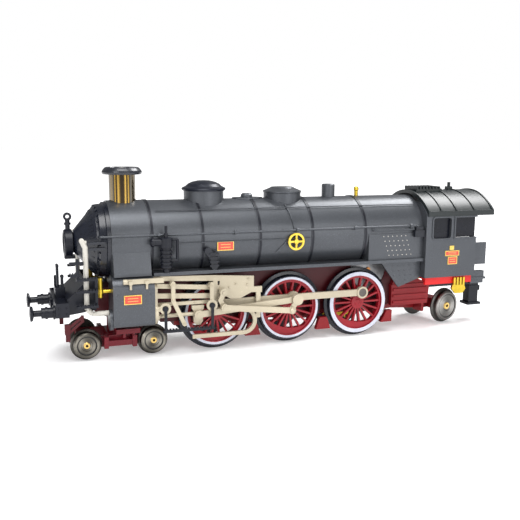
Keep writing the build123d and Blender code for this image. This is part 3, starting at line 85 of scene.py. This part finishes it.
class Finish:
    def __init__(self, name, uniform):
        self.material = bpy.data.materials.new(name)
        self.material.use_nodes = True
        self.tree = self.material.node_tree
        self.shader = self.tree.nodes["Principled BSDF"]
        for socket, value in uniform.items():
            self.shader.inputs[socket].default_value = value
        place = self.add("TexCoord", {}, {})[3]
        self.place = place
        split = self.add("SeparateXYZ", {}, {0: place})
        self.x, self.y, self.z = split[0], split[1], split[2]

    def add(self, kind, settings, values):
        node = self.tree.nodes.new("ShaderNode" + kind)
        for key, value in settings.items():
            if key == "stops":
                ramp = node.color_ramp
                while len(ramp.elements) < len(value):
                    ramp.elements.new(0.5)
                for element, (spot, colour) in zip(ramp.elements, value):
                    element.position = spot
                    element.color = (*colour, 1)
            else:
                setattr(node, key, value)
        for key, value in values.items():
            if isinstance(value, Flow):
                self.tree.links.new(value.socket, node.inputs[key])
            else:
                node.inputs[key].default_value = value
        return [Flow(self, socket) for socket in node.outputs]

    def feed(self, socket, flow):
        self.tree.links.new(flow.socket, self.shader.inputs[socket])

    def noise(self, scale, detail=3.0, stretch=None):
        source = self.place
        if stretch:
            source = self.add("Mapping", {}, {0: self.place, 3: stretch})[0]
        return self.add("TexNoise", {}, {"Vector": source, "Scale": scale, "Detail": detail})[0]

    def ramp(self, flow, stops):
        return self.add("ValToRGB", {"stops": stops}, {0: flow})[0]

    def mix(self, factor, a, b):
        first, second = [colour if isinstance(colour, Flow) else (*colour, 1) for colour in (a, b)]
        return self.add("Mix", {"data_type": "RGBA"}, {0: factor, 6: first, 7: second})[2]

    def bump(self, height, strength, distance):
        values = {"Strength": strength, "Distance": distance, "Height": height}
        self.feed("Normal", self.add("Bump", {}, values)[0])


def around(finish, x, z):
    # distance from an axle, in the side view
    dx = finish.x - x
    dz = finish.z - z
    return (dx * dx + dz * dz).root()


def shade(colour, k):
    return tuple(min(1.0, c * k) for c in colour)


# ---- sizes that several finishes and pieces share ----
boilerZ = 0.037
boilerR = 0.0126
driverZ = 0.0124
axleX = {"front": 0.0263, "middle": 0.0, "rear": -0.0263}


# ---- paints and metals ----
def grains(finish):
    # slow tone, fine grain and scuffs, as every painted piece has them
    return finish.noise(45, 4), finish.noise(4200, 2), finish.noise(900, 6, (1, 1, 4))


def mottled(finish, slow, fine, colour):
    stops = [(0.3, shade(colour, 0.82)), (0.55, colour), (0.75, shade(colour, 1.18))]
    return finish.ramp(slow * 0.75 + fine * 0.25, stops)


def makePaint(name, look):
    # sprayed or moulded finish: fine grain, slow tone changes, small scuffs
    paint = Finish(name, {
        "Coat Weight": look.get("coat", 0.0), "Coat Roughness": 0.25,
        "Metallic": look.get("metal", 0.0), "Specular IOR Level": look.get("gloss", 0.4),
    })
    slow, fine, scuff = grains(paint)
    colour = look["colour"]
    tone = mottled(paint, slow, fine, colour)
    rubbed = (scuff > 0.69) * 0.35
    fleck = (paint.noise(5200, 1) > 0.64) * look.get("fleck", 0.0)
    tone = paint.mix(fleck, tone, shade(colour, 2.1))
    paint.feed("Base Color", paint.mix(rubbed, tone, shade(colour, 1.5)))
    paint.feed("Roughness", look["rough"] + (slow - 0.5) * 0.12 + (fine - 0.5) * 0.1)
    paint.bump(fine + scuff * 0.4, look.get("bump", 0.25), 0.00002)
    return paint.material


paintLooks = {
    "bodyGrey": {"colour": (0.066, 0.071, 0.080), "rough": 0.34, "metal": 0.5, "bump": 0.5, "fleck": 0.6},
    "smokeboxNavy": {"colour": (0.008, 0.010, 0.017), "rough": 0.27, "coat": 0.15, "gloss": 0.4},
    "lidSlate": {"colour": (0.010, 0.012, 0.020), "rough": 0.32, "metal": 0.3, "fleck": 0.3},
    "roofGreen": {"colour": (0.010, 0.014, 0.015), "rough": 0.36, "gloss": 0.4, "fleck": 0.12},
    "trimBlack": {"colour": (0.005, 0.006, 0.011), "rough": 0.34, "gloss": 0.3, "fleck": 0.1},
    "motionIvory": {"colour": (0.46, 0.405, 0.30), "rough": 0.34, "metal": 0.3, "bump": 0.12},
    "pipeIvory": {"colour": (0.52, 0.50, 0.45), "rough": 0.36, "bump": 0.12},
    "wheelRed": {"colour": (0.27, 0.006, 0.014), "rough": 0.34, "gloss": 0.35, "bump": 0.15},
    "chassisRed": {"colour": (0.062, 0.003, 0.006), "rough": 0.42, "gloss": 0.3, "bump": 0.35},
    "bogieRed": {"colour": (0.140, 0.005, 0.012), "rough": 0.36, "gloss": 0.3},
    "frameRed": {"colour": (0.205, 0.006, 0.010), "rough": 0.42, "gloss": 0.3, "bump": 0.2},
    "sillRed": {"colour": (0.60, 0.010, 0.010), "rough": 0.36, "gloss": 0.35, "bump": 0.1},
}
paints = {name: makePaint(name, look) for name, look in paintLooks.items()}


def makeMetal(name, look):
    # turned or drawn metal with hairlines along one axis
    metal = Finish(name, {"Metallic": 1.0})
    hair = metal.noise(700, 3, look.get("stretch", (1, 14, 1)))
    slow = metal.noise(160, 3)
    colour = look["colour"]
    stops = [(0.3, shade(colour, 0.75)), (0.6, colour), (0.8, shade(colour, 1.15))]
    metal.feed("Base Color", metal.ramp(hair * 0.6 + slow * 0.4, stops))
    metal.feed("Roughness", look["rough"] + (hair - 0.5) * 0.2)
    metal.bump(hair, 0.2, 0.00001)
    return metal.material


metalLooks = {
    "fittingBrass": {"colour": (0.62, 0.44, 0.05), "rough": 0.34},
    "plainSteel": {"colour": (0.40, 0.39, 0.37), "rough": 0.34},
    "screwSteel": {"colour": (0.13, 0.12, 0.11), "rough": 0.42},
    "motorSteel": {"colour": (0.30, 0.30, 0.31), "rough": 0.4, "stretch": (1, 10, 1)},
    "woundCopper": {"colour": (0.50, 0.22, 0.08), "rough": 0.35, "stretch": (30, 1, 30)},
}
metals = {name: makeMetal(name, look) for name, look in metalLooks.items()}


def makeGlass():
    # painted shade: the pane is an opaque, almost black sheet standing for the dark cab behind the glass
    pane = Finish("cabPane", {"Specular IOR Level": 0.25, "IOR": 1.5})
    haze = pane.noise(120, 3)
    pane.feed("Base Color", pane.ramp(haze, [(0.3, (0.002, 0.003, 0.006)), (0.7, (0.006, 0.007, 0.013))]))
    pane.feed("Roughness", 0.22 + haze * 0.12)
    return pane.material


chimneyLook = {
    "x": 0.0548, "rim": 0.05795, "pinR": 0.00065, "pinZ": 0.05975,
    "gold": (0.42, 0.26, 0.05), "darkReflection": (0.030, 0.019, 0.008), "steel": (0.16, 0.15, 0.13),
}


def makeChimneyFinish(look):
    # drawn brass tube with fine upright grain, painted upright reflection streaks and painted grey
    # reflections on some sides, under a dark rim
    brass = Finish("chimneyBrass", {"Coat Weight": 0.3, "Coat Roughness": 0.12})
    turn = brass.y.angleTo(brass.x - look["x"])
    # painted reflection: light and dark upright streaks set by the angle round the chimney
    reflectionStreak = (turn * 17 + (turn * 7).sine() * 1.6).sine() * 0.5 + 0.5
    fine = brass.noise(1500, 2, (1, 1, 0.05))
    stops = [(0.3, look["darkReflection"]), (0.58, shade(look["gold"], 0.45)), (0.85, look["gold"])]
    tube = brass.ramp(reflectionStreak * 0.7 + fine * 0.3, stops)
    # painted reflection: grey patches on fixed sides of the chimney
    grey = (turn * 3 + 0.6).sine() > 0.35
    tube = brass.mix(grey * 0.7, tube, look["steel"])
    cap = brass.z > look["rim"]
    dx = brass.x - look["x"]
    pin = ((dx * dx + brass.y * brass.y).root() < look["pinR"]) * (brass.z > look["pinZ"])
    capped = brass.mix(cap, tube, (0.012, 0.014, 0.020))
    brass.feed("Base Color", brass.mix(pin, capped, (0.55, 0.54, 0.50)))
    brass.feed("Metallic", 1 - cap * 0.85)
    brass.feed("Roughness", 0.16 + cap * 0.16 + fine * 0.08)
    brass.bump(fine, 0.15, 0.00001)
    return brass.material


tyreLook = {
    "face": 0.0096,
    "inner": {"front": 0.00985, "middle": 0.00985, "rear": 0.00965},
    "outer": {"front": 0.01065, "middle": 0.01065, "rear": 0.01098},
}


def makeTyreFinish(place, look):
    # black tyre with a pale ring round the outer face
    tyre = Finish(place + "Tyre", {"Coat Weight": 0.1, "Coat Roughness": 0.2, "Specular IOR Level": 0.35})
    r = around(tyre, axleX[place], driverZ)
    face = abs(tyre.y) > look["face"]
    ring = face * (r < look["outer"][place]) * (r > look["inner"][place])
    lip = face * (r < look["inner"][place])
    slow = tyre.noise(260, 3)
    black = tyre.ramp(slow, [(0.3, (0.004, 0.005, 0.010)), (0.7, (0.012, 0.014, 0.024))])
    pale = tyre.ramp(slow, [(0.3, (0.47, 0.49, 0.58)), (0.7, (0.58, 0.60, 0.68))])
    red = tyre.ramp(slow, [(0.3, (0.20, 0.005, 0.010)), (0.7, (0.29, 0.008, 0.016))])
    tyre.feed("Base Color", tyre.mix(lip, tyre.mix(ring, black, pale), red))
    tyre.feed("Roughness", 0.26 + ring * 0.14 + (slow - 0.5) * 0.1)
    tyre.bump((r * 30000).sine() * 0.3 + slow, 0.12, 0.00001)
    return tyre.material


# how far out from the middle the wheel's face, groove and hub begin
wheelFace = {"inner": 0.0093, "groove": 0.0092, "hub": 0.0088, "grooveHalf": 0.00022, "bore": 0.42}


def makeWheelSteel(name, look):
    # turned steel disc: fine rings, a painted reflection sweeping round the axle, a dark groove and a brass
    # hub with painted shade in its bore, square to its own axle; painted shade darkens the tread and back
    disc = Finish(name, {})
    cos, sin = look.get("cos", 1), look.get("sin", 0)
    across = disc.x - look["x"]
    along = disc.y - look.get("y", 0)
    turnX = across * cos + along * sin
    out = abs(along * cos - across * sin)
    dz = disc.z - look["z"]
    r = (turnX * turnX + dz * dz).root()
    rings = (r * 26000).sine() * 0.5 + 0.5
    # painted reflection: bright and dark sectors by the angle round the axle, which drive the ramp's
    # highlight end
    reflectionSweep = (dz.angleTo(turnX) * 2 + 0.9).sine() * 0.5 + 0.5
    spin = disc.noise(420, 2)
    colour = look["colour"]
    stops = [(0.25, shade(colour, 0.45)), (0.55, colour), (0.85, shade(colour, 2.2))]
    face = disc.ramp(rings * 0.2 + spin * 0.35 + reflectionSweep * 0.45, stops)
    groove = (abs(r - look["groove"]) < wheelFace["grooveHalf"]) * (out > wheelFace["groove"])
    hub = (r < look["hub"]) * (out > wheelFace["hub"])
    # painted shade in the bore at the middle of the hub
    bore = (r < look["hub"] * wheelFace["bore"]) * (out > wheelFace["hub"])
    # painted shade: the tread, flange and back of the wheel, inside the face, are darkened almost to black
    inner = out < wheelFace["inner"]
    toned = disc.mix(inner * 0.75, face, (0.03, 0.028, 0.026))
    toned = disc.mix(groove, toned, (0.02, 0.02, 0.02))
    toned = disc.mix(hub, toned, (0.72, 0.50, 0.16))
    disc.feed("Base Color", disc.mix(bore, toned, (0.05, 0.035, 0.02)))
    disc.feed("Metallic", 0.95 - groove * 0.5)
    disc.feed("Roughness", 0.3 + rings * 0.1 + (spin - 0.5) * 0.1)
    disc.bump(rings, 0.25, 0.00001)
    return disc.material


bogieWheel = {"z": 0.0050, "groove": 0.0029, "hub": 0.00105, "colour": (0.15, 0.14, 0.12)}
truckPivotX = -0.0412
truckArm = 0.0255
truckCos = math.cos(math.radians(13))
truckSin = math.sin(math.radians(13))
wheelLooks = {
    "bogie_front_wheels": {**bogieWheel, "x": 0.0685},
    "bogie_rear_wheels": {**bogieWheel, "x": 0.0473},
    "trailing_wheels": {
        "x": truckPivotX - truckArm * truckCos, "y": -truckArm * truckSin, "z": 0.0067,
        "cos": truckCos, "sin": truckSin, "groove": 0.0044, "hub": 0.0014, "colour": (0.20, 0.195, 0.185),
    },
}

plateLook = {
    "border": 0.00025,
    "plates": [  # centre x, centre z, half width, half height
        (0.0240, 0.0353, 0.0028, 0.0015), (0.05495, 0.02025, 0.00275, 0.00145),
        (-0.06135, 0.02925, 0.00295, 0.00095), (-0.0616, 0.0266, 0.0020, 0.0014),
    ],
}


def makePlateFinish(look):
    # red enamel field inside a gold rim, with blank bars where marks would be
    plate = Finish("enamelPlate", {"Coat Weight": 0.5, "Coat Roughness": 0.15})
    field = 0
    bars = 0
    rim = look["border"]
    for cx, cz, hw, hh in look["plates"]:
        dx = abs(plate.x - cx)
        dz = abs(plate.z - cz)
        field = (dx < hw - rim) * (dz < hh - rim) + field
        bars = (dx < hw * 0.6) * (abs(dz - hh * 0.3) < hh * 0.1) + bars
    grain = plate.noise(2500, 2)
    gold = plate.ramp(grain, [(0.3, (0.55, 0.36, 0.06)), (0.7, (0.80, 0.56, 0.12))])
    red = plate.ramp(grain, [(0.3, (0.46, 0.020, 0.006)), (0.7, (0.58, 0.040, 0.010))])
    shown = plate.mix(field, gold, red)
    plate.feed("Base Color", plate.mix(bars * 0.6, shown, (0.70, 0.42, 0.10)))
    plate.feed("Metallic", 0.7 - field * 0.7)
    plate.feed("Roughness", 0.3 + grain * 0.15)
    plate.bump(field * -1 + grain * 0.1, 0.4, 0.00005)
    return plate.material


handwheelLook = {"x": -0.0005, "reach": 0.0035}


def makeFittingFinish(look):
    # black fittings, with the handwheel picked out in brass
    mixed = Finish("boilerFitting", {"Specular IOR Level": 0.35})
    wheel = (abs(mixed.x - look["x"]) < look["reach"]) * (mixed.y > 0)
    slow = mixed.noise(300, 3)
    black = mixed.ramp(slow, [(0.3, (0.004, 0.005, 0.009)), (0.7, (0.010, 0.012, 0.018))])
    gold = mixed.ramp(slow, [(0.3, (0.62, 0.42, 0.05)), (0.7, (0.85, 0.62, 0.09))])
    mixed.feed("Base Color", mixed.mix(wheel, black, gold))
    mixed.feed("Metallic", wheel * 0.75)
    mixed.feed("Roughness", 0.3 + slow * 0.1)
    mixed.bump(slow, 0.15, 0.00002)
    return mixed.material


boilerLook = {
    "bands": (0.0478, 0.0314, 0.0118, -0.0071, -0.0272), "half": 0.00042,
    "bandLow": 0.01268, "bandHigh": 0.0130,
}


def makeBoilerFinish(look):
    # the body's grey with its straps darker, where the casting stands proud
    boiler = Finish("boilerGrey", {"Metallic": 0.4, "Specular IOR Level": 0.4})
    slow, fine, scuff = grains(boiler)
    colour = paintLooks["bodyGrey"]["colour"]
    grey = mottled(boiler, slow, fine, colour)
    fleck = (boiler.noise(5200, 1) > 0.64) * 0.45
    grey = boiler.mix(fleck, grey, shade(colour, 2.1))
    dz = boiler.z - boilerZ
    r = (boiler.y * boiler.y + dz * dz).root()
    band = 0
    for bandX in look["bands"]:
        band = (abs(boiler.x - bandX) < look["half"]) * (r > look["bandLow"]) + band
    band = band * (r < look["bandHigh"])
    boiler.feed("Base Color", boiler.mix(band, grey, (0.010, 0.011, 0.016)))
    boiler.feed("Roughness", 0.35 + (slow - 0.5) * 0.12 + (fine - 0.5) * 0.12)
    boiler.bump(fine + scuff * 0.4, 0.5, 0.00002)
    return boiler.material


print("finishes made")

# ---- which finish each CAD node wears ----
worn = {
    "bodyGrey": ["cab", "cylinder_block", "running_boards", "steam_dome", "handrails"],
    "smokeboxNavy": ["smokebox_door"],
    "lidSlate": ["sand_dome_lid"],
    "roofGreen": ["cab_roof"],
    "trimBlack": ["front_lamp", "steps", "air_pump", "drawbar", "buffer_beam", "left_buffer", "right_buffer"],
    "motionIvory": ["valve_gear", "cylinder_covers", "return_cranks"]
    + [side + "_" + piece for side in ("left", "right")
       for piece in ("coupling_rod", "main_rod", "eccentric_rod", "crosshead", "expansion_link")],
    "pipeIvory": ["steam_pipes"],
    "wheelRed": [place + piece for place in axleX for piece in ("_driver_centres", "_driver_axle")],
    "chassisRed": ["chassis", "guard_irons"],
    "bogieRed": ["bogie_frame"],
    "frameRed": ["keeper_plate", "rear_frame", "trailing_truck_frame"],
    "sillRed": ["cab_sills"],
    "fittingBrass": ["brass_fittings", "axle_gear"],
    "plainSteel": ["frame_screws"],
    "screwSteel": ["front_crank_screws", "rear_crank_screws"],
    "motorSteel": ["motor_housing"],
    "woundCopper": ["armature"],
}


def dress(name, material):
    mesh = nodes[name].data
    mesh.materials.clear()
    mesh.materials.append(material)


allFinishes = {**paints, **metals}
for finishName, names in worn.items():
    for name in names:
        dress(name, allFinishes[finishName])
dress("boiler_shell", makeBoilerFinish(boilerLook))
dress("cab_glazing", makeGlass())
dress("chimney", makeChimneyFinish(chimneyLook))
dress("blank_plates", makePlateFinish(plateLook))
dress("boiler_fittings", makeFittingFinish(handwheelLook))
for place in axleX:
    dress(place + "_driver_tyres", makeTyreFinish(place, tyreLook))
for name, look in wheelLooks.items():
    dress(name, makeWheelSteel(name.replace("_", " ").title().replace(" ", ""), look))
print("CAD nodes dressed")


# ---- modelling helpers ----
def deselect():
    if bpy.context.object and bpy.context.object.mode != "OBJECT":
        bpy.ops.object.mode_set(mode="OBJECT")
    bpy.ops.object.select_all(action="DESELECT")


def selectOnly(piece):
    deselect()
    piece.select_set(True)
    bpy.context.view_layer.objects.active = piece


def settle(piece, name, body, material):
    # put the object's place into its mesh and hang it on its body
    selectOnly(piece)
    bpy.ops.object.transform_apply(location=True, rotation=True, scale=True)
    piece.name = name
    piece.data.materials.clear()
    piece.data.materials.append(material)
    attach(piece, body)
    return piece


def pickFaces(piece, test):
    bpy.ops.object.mode_set(mode="EDIT")
    bpy.ops.mesh.select_mode(type="FACE")
    bpy.ops.mesh.select_all(action="DESELECT")
    bpy.ops.object.mode_set(mode="OBJECT")
    for face in piece.data.polygons:
        face.select = bool(test(face))
    bpy.ops.object.mode_set(mode="EDIT")


def copyAt(piece, places):
    # real copies of a piece at several places, joined into one mesh
    copies = []
    for place in places:
        twin = piece.copy()
        twin.data = piece.data.copy()
        bpy.context.collection.objects.link(twin)
        twin.matrix_world = place @ piece.matrix_world
        copies.append(twin)
    bpy.data.objects.remove(piece)
    deselect()
    for twin in copies:
        twin.select_set(True)
    bpy.context.view_layer.objects.active = copies[0]
    bpy.ops.object.join()
    return bpy.context.object


def rivetHead(radius, height, sides=10):
    # low domed head standing on its flat side, pointing up +Z
    deselect()
    middle = (0, 0, height / 2)
    bpy.ops.mesh.primitive_cylinder_add(vertices=sides, radius=radius, depth=height, location=middle)
    rivet = bpy.context.object
    pickFaces(rivet, lambda face: face.normal.z > 0.9)
    bpy.ops.mesh.inset(thickness=radius * 0.35)
    bpy.ops.transform.translate(value=(0, 0, height * 0.45))
    bpy.ops.object.mode_set(mode="OBJECT")
    return rivet


def facing(direction):
    return Vector(direction).to_track_quat("Z", "Y").to_matrix().to_4x4()


# ---- rivets, bolts and ribs ----
def studs(name, body, material, head, spots):
    # copies of one head, each standing on its spot and facing along its direction
    places = [Matrix.Translation(spot) @ facing(direction) for spot, direction in spots]
    return settle(copyAt(head, places), name, body, material)


def bothSides(points, y):
    return [((x, hand * y, z), (0, hand, 0)) for hand in (1, -1) for x, z in points]


def leaningRows(look):
    # rows of spots going back and down, each row a little further back
    return [(look["x"] - look["across"] * column - look["lean"] * row, look["z"] - look["down"] * row)
            for column in range(look["columns"]) for row in range(look["rows"])]


fireboxLook = {
    "x": -0.0341, "z": 0.0361, "columns": 6, "rows": 5, "across": 0.00178, "down": 0.00170, "lean": 0.0006,
}
panel = leaningRows(fireboxLook)
panelHead = rivetHead(0.00018, 0.0001, 8)
studs("fireboxRivets", "locomotive", paints["pipeIvory"], panelHead, bothSides(panel, 0.0129))

apronLook = {
    "x": -0.0385, "z": 0.0252, "columns": 5, "rows": 3, "across": 0.0023, "down": 0.0018, "lean": 0.0004,
}
apron = leaningRows(apronLook) + [(-0.0440, 0.0199), (-0.0462, 0.0199)]
studs("apronRivets", "locomotive", paints["bodyGrey"], rivetHead(0.0002, 0.0001, 8), bothSides(apron, 0.0120))

casing = [(0.0492, 0.0130), (0.0597, 0.0130), (0.0492, 0.0218), (0.0597, 0.0218)]
casingHead = rivetHead(0.00028, 0.00014, 10)
studs("casingRivets", "locomotive", paints["bodyGrey"], casingHead, bothSides(casing, 0.0162))

coneLook = {"count": 28, "ring": 0.01125, "x": 0.06395, "slope": (0.6435, 0.7655)}
spokes = []
for step in range(coneLook["count"]):
    turn = 2 * math.pi * step / coneLook["count"]
    spokes.append(Vector((0, math.sin(turn), math.cos(turn))))
ringCentre = Vector((coneLook["x"], 0, boilerZ))
rim = [(ringCentre + spoke * coneLook["ring"], (1, 0, 0)) for spoke in spokes]
studs("smokeboxRivets", "locomotive", paints["smokeboxNavy"], rivetHead(0.00034, 0.0003, 8), rim)

ribLook = {"length": 0.0026, "width": 0.00042, "height": 0.00038, "x": 0.0662}
coneFoot = {"x": 0.0646, "r": 0.0108, "fall": 6.9 / 5.8}


def coneRib(look):
    # a short bar that narrows and drops towards its front end
    deselect()
    size = (look["length"], look["width"], look["height"])
    bpy.ops.mesh.primitive_cube_add(size=1, location=(0, 0, 0), scale=size)
    rib = bpy.context.object
    bpy.ops.object.transform_apply(location=False, rotation=False, scale=True)
    pickFaces(rib, lambda face: face.normal.x > 0.9)
    bpy.ops.transform.resize(value=(1, 0.55, 0.3))
    bpy.ops.transform.translate(value=(0, 0, -look["height"] * 0.3))
    bpy.ops.object.mode_set(mode="OBJECT")
    return rib


def onCone(spoke, look):
    # the place of a rib that lies along the cone, under one spoke
    forward, inward = coneLook["slope"]
    along = Vector((forward, 0, 0)) - spoke * inward
    normal = Vector((inward, 0, 0)) + spoke * forward
    lying = Matrix((along, normal.cross(along), normal)).transposed().to_4x4()
    r = coneFoot["r"] - (look["x"] - coneFoot["x"]) * coneFoot["fall"]
    return Matrix.Translation(Vector((look["x"], 0, boilerZ)) + spoke * r) @ lying


ribPlaces = [onCone(spoke, ribLook) for spoke in spokes]
settle(copyAt(coneRib(ribLook), ribPlaces), "coneRibs", "locomotive", paints["smokeboxNavy"])


def hexBolt(radius, height):
    # hexagon head with a washer face and a small domed end
    deselect()
    bpy.ops.mesh.primitive_cylinder_add(vertices=6, radius=radius, depth=height, location=(0, 0, height / 2))
    bolt = bpy.context.object
    pickFaces(bolt, lambda face: face.normal.z > 0.9)
    bpy.ops.mesh.inset(thickness=radius * 0.3)
    bpy.ops.mesh.extrude_region_move(TRANSFORM_OT_translate={"value": (0, 0, height * 0.6)})
    bpy.ops.transform.resize(value=(0.7, 0.7, 1))
    bpy.ops.object.mode_set(mode="OBJECT")
    return bolt


gearBolts = [(0.0293, 0.0228), (0.0420, 0.0240), (0.0420, 0.0190), (0.0385, 0.0112)]
gearHead = hexBolt(0.00042, 0.00022)
studs("gearBolts", "locomotive", paints["motionIvory"], gearHead, bothSides(gearBolts, 0.0153))
bracketBolts = [(0.0165, 0.0221), (0.0205, 0.0225), (0.0228, 0.0216), (0.0160, 0.0240)]
bracketHead = hexBolt(0.00045, 0.00028)
studs("bracketBolts", "locomotive", paints["motionIvory"], bracketHead, bothSides(bracketBolts, 0.0129))
guideBolts = [(0.0345, 0.0173), (0.0405, 0.0173), (0.0455, 0.0173)]
guideHead = hexBolt(0.00036, 0.0002)
studs("guideBolts", "locomotive", paints["motionIvory"], guideHead, bothSides(guideBolts, 0.0129))
beamBolts = [(0.0745, 0.0164), (0.0768, 0.0164), (0.0745, 0.0182), (0.0768, 0.0182)]
studs("beamBolts", "locomotive", paints["trimBlack"], hexBolt(0.00032, 0.0002), bothSides(beamBolts, 0.0130))
print("rivets, bolts and ribs placed")


# ---- fine pipes on the boiler ----
def finePipe(points, radius):
    # a disc drawn out from point to point
    start, second = Vector(points[0]), Vector(points[1])
    deselect()
    bpy.ops.mesh.primitive_circle_add(vertices=8, radius=radius, fill_type="NGON", location=start,
                                      rotation=(second - start).to_track_quat("Z", "Y").to_euler())
    pipe = bpy.context.object
    bpy.ops.object.mode_set(mode="EDIT")
    bpy.ops.mesh.select_all(action="SELECT")
    for near, far in zip(points, points[1:]):
        step = Vector(far) - Vector(near)
        bpy.ops.mesh.extrude_region_move(TRANSFORM_OT_translate={"value": step})
    bpy.ops.mesh.select_all(action="SELECT")
    bpy.ops.mesh.normals_make_consistent(inside=False)
    bpy.ops.object.mode_set(mode="OBJECT")
    return pipe


def onBoiler(x, degrees, lift, hand=1):
    turn = math.radians(degrees)
    out = boilerR + lift
    return (x, hand * out * math.sin(turn), boilerZ + out * math.cos(turn))


pipeLook = {"r": 0.00016, "lift": 0.00040, "highTurn": 41, "lowTurn": 91}
for hand, side in ((1, "left"), (-1, "right")):
    high = [onBoiler(x, pipeLook["highTurn"], pipeLook["lift"], hand) for x in (0.0460, 0.0, -0.0485)]
    settle(finePipe(high, pipeLook["r"]), side + "HighPipe", "locomotive", paints["bodyGrey"])
    low = [onBoiler(x, pipeLook["lowTurn"], pipeLook["lift"], hand) for x in (0.0390, 0.0150, -0.0065)]
    settle(finePipe(low, pipeLook["r"]), side + "LowPipe", "locomotive", paints["bodyGrey"])
drop = [onBoiler(0.0012 - 0.0003 * step, 34 + 9 * step, 0.00026) for step in range(6)]
settle(finePipe(drop, 0.0002), "domePipe", "locomotive", paints["bodyGrey"])
stay = [onBoiler(0.0060 - 0.0012 * step, 112 - 6 * step, 0.00026) for step in range(4)]
settle(finePipe(stay, 0.00016), "valveStay", "locomotive", paints["bodyGrey"])
print("fine pipes drawn")


# ---- floor, light and camera ----
stageLook = {
    "floor": (0.80, 0.80, 0.81), "size": 8.0, "drop": 0.00002,
    "glow": [(0.12, (0.30, 0.30, 0.30)), (0.55, (0.90, 0.90, 0.90))],
    "seen": 1.0, "fill": 0.26,
}
deselect()
bpy.ops.mesh.primitive_plane_add(size=stageLook["size"], location=(0, 0, -stageLook["drop"]))
floor = bpy.context.object
floor.name = "floor"
# painted light: the floor glows, dim near the locomotive and bright further out, on top of its own pale
# colour
floorPaintAndGlow = Finish("floorPaintAndGlow", {"Roughness": 0.7, "Emission Strength": 1.0})
away = (floorPaintAndGlow.x * floorPaintAndGlow.x + floorPaintAndGlow.y * floorPaintAndGlow.y).root()
floorPaintAndGlow.feed("Emission Color", floorPaintAndGlow.ramp(away, stageLook["glow"]))
floorStops = [(0.3, shade(stageLook["floor"], 0.985)), (0.7, stageLook["floor"])]
floorPaintAndGlow.feed("Base Color", floorPaintAndGlow.ramp(floorPaintAndGlow.noise(6, 3), floorStops))
floor.data.materials.append(floorPaintAndGlow.material)

world = bpy.data.worlds.new("studio")
world.use_nodes = True
sky = world.node_tree
sight = sky.nodes.new("ShaderNodeLightPath")
skyLevel = sky.nodes.new("ShaderNodeMath")
skyLevel.operation = "MULTIPLY_ADD"
skyLevel.inputs[1].default_value = stageLook["seen"] - stageLook["fill"]
skyLevel.inputs[2].default_value = stageLook["fill"]
sky.links.new(sight.outputs["Is Camera Ray"], skyLevel.inputs[0])
sky.links.new(skyLevel.outputs[0], sky.nodes["Background"].inputs[1])
sky.nodes["Background"].inputs[0].default_value = (1, 1, 1, 1)
bpy.context.scene.world = world

lampLooks = [  # name, place, aim, size, power
    ("softTop", (0.10, 0.30, 0.80), (0, 0, 0.03), 0.55, 7.0),
    ("keyRear", (-0.42, -0.18, 0.62), (0, 0, 0.02), 0.30, 4.5),
    ("softFront", (0.60, 0.55, 0.35), (0.02, 0, 0.03), 0.35, 2.6),
    ("softSide", (-0.25, 0.70, 0.25), (-0.02, 0, 0.03), 0.40, 2.0),
]
for name, spot, aim, size, power in lampLooks:
    data = bpy.data.lights.new(name, "AREA")
    data.shape = "SQUARE"
    data.size = size
    data.energy = power
    lamp = bpy.data.objects.new(name, data)
    bpy.context.collection.objects.link(lamp)
    lamp.location = spot
    lamp.rotation_euler = (Vector(aim) - Vector(spot)).to_track_quat("-Z", "Y").to_euler()

viewLook = {
    "azimuth": 0.35287, "height": 0.16541, "roll": 0.00819,
    "place": (0.09316, 0.23300, 0.06921), "lens": 49.79, "sensor": 36, "near": 0.005,
}
azimuth, height, roll = viewLook["azimuth"], viewLook["height"], viewLook["roll"]
level = math.cos(height)
back = Vector((math.sin(azimuth) * level, math.cos(azimuth) * level, math.sin(height)))
right = (-back).cross(Vector((0, 0, 1))).normalized()
up = right.cross(-back)
across = right * math.cos(roll) + up * math.sin(roll)
above = up * math.cos(roll) - right * math.sin(roll)
cameraData = bpy.data.cameras.new("mainCamera")
cameraData.lens = viewLook["lens"]
cameraData.sensor_width = viewLook["sensor"]
cameraData.clip_start = viewLook["near"]
camera = bpy.data.objects.new("mainCamera", cameraData)
bpy.context.collection.objects.link(camera)
aimed = Matrix((across, above, back)).transposed().to_4x4()
camera.matrix_world = Matrix.Translation(viewLook["place"]) @ aimed
bpy.context.scene.camera = camera
bpy.context.scene.view_settings.view_transform = "Standard"
print("stage, lights and camera ready")
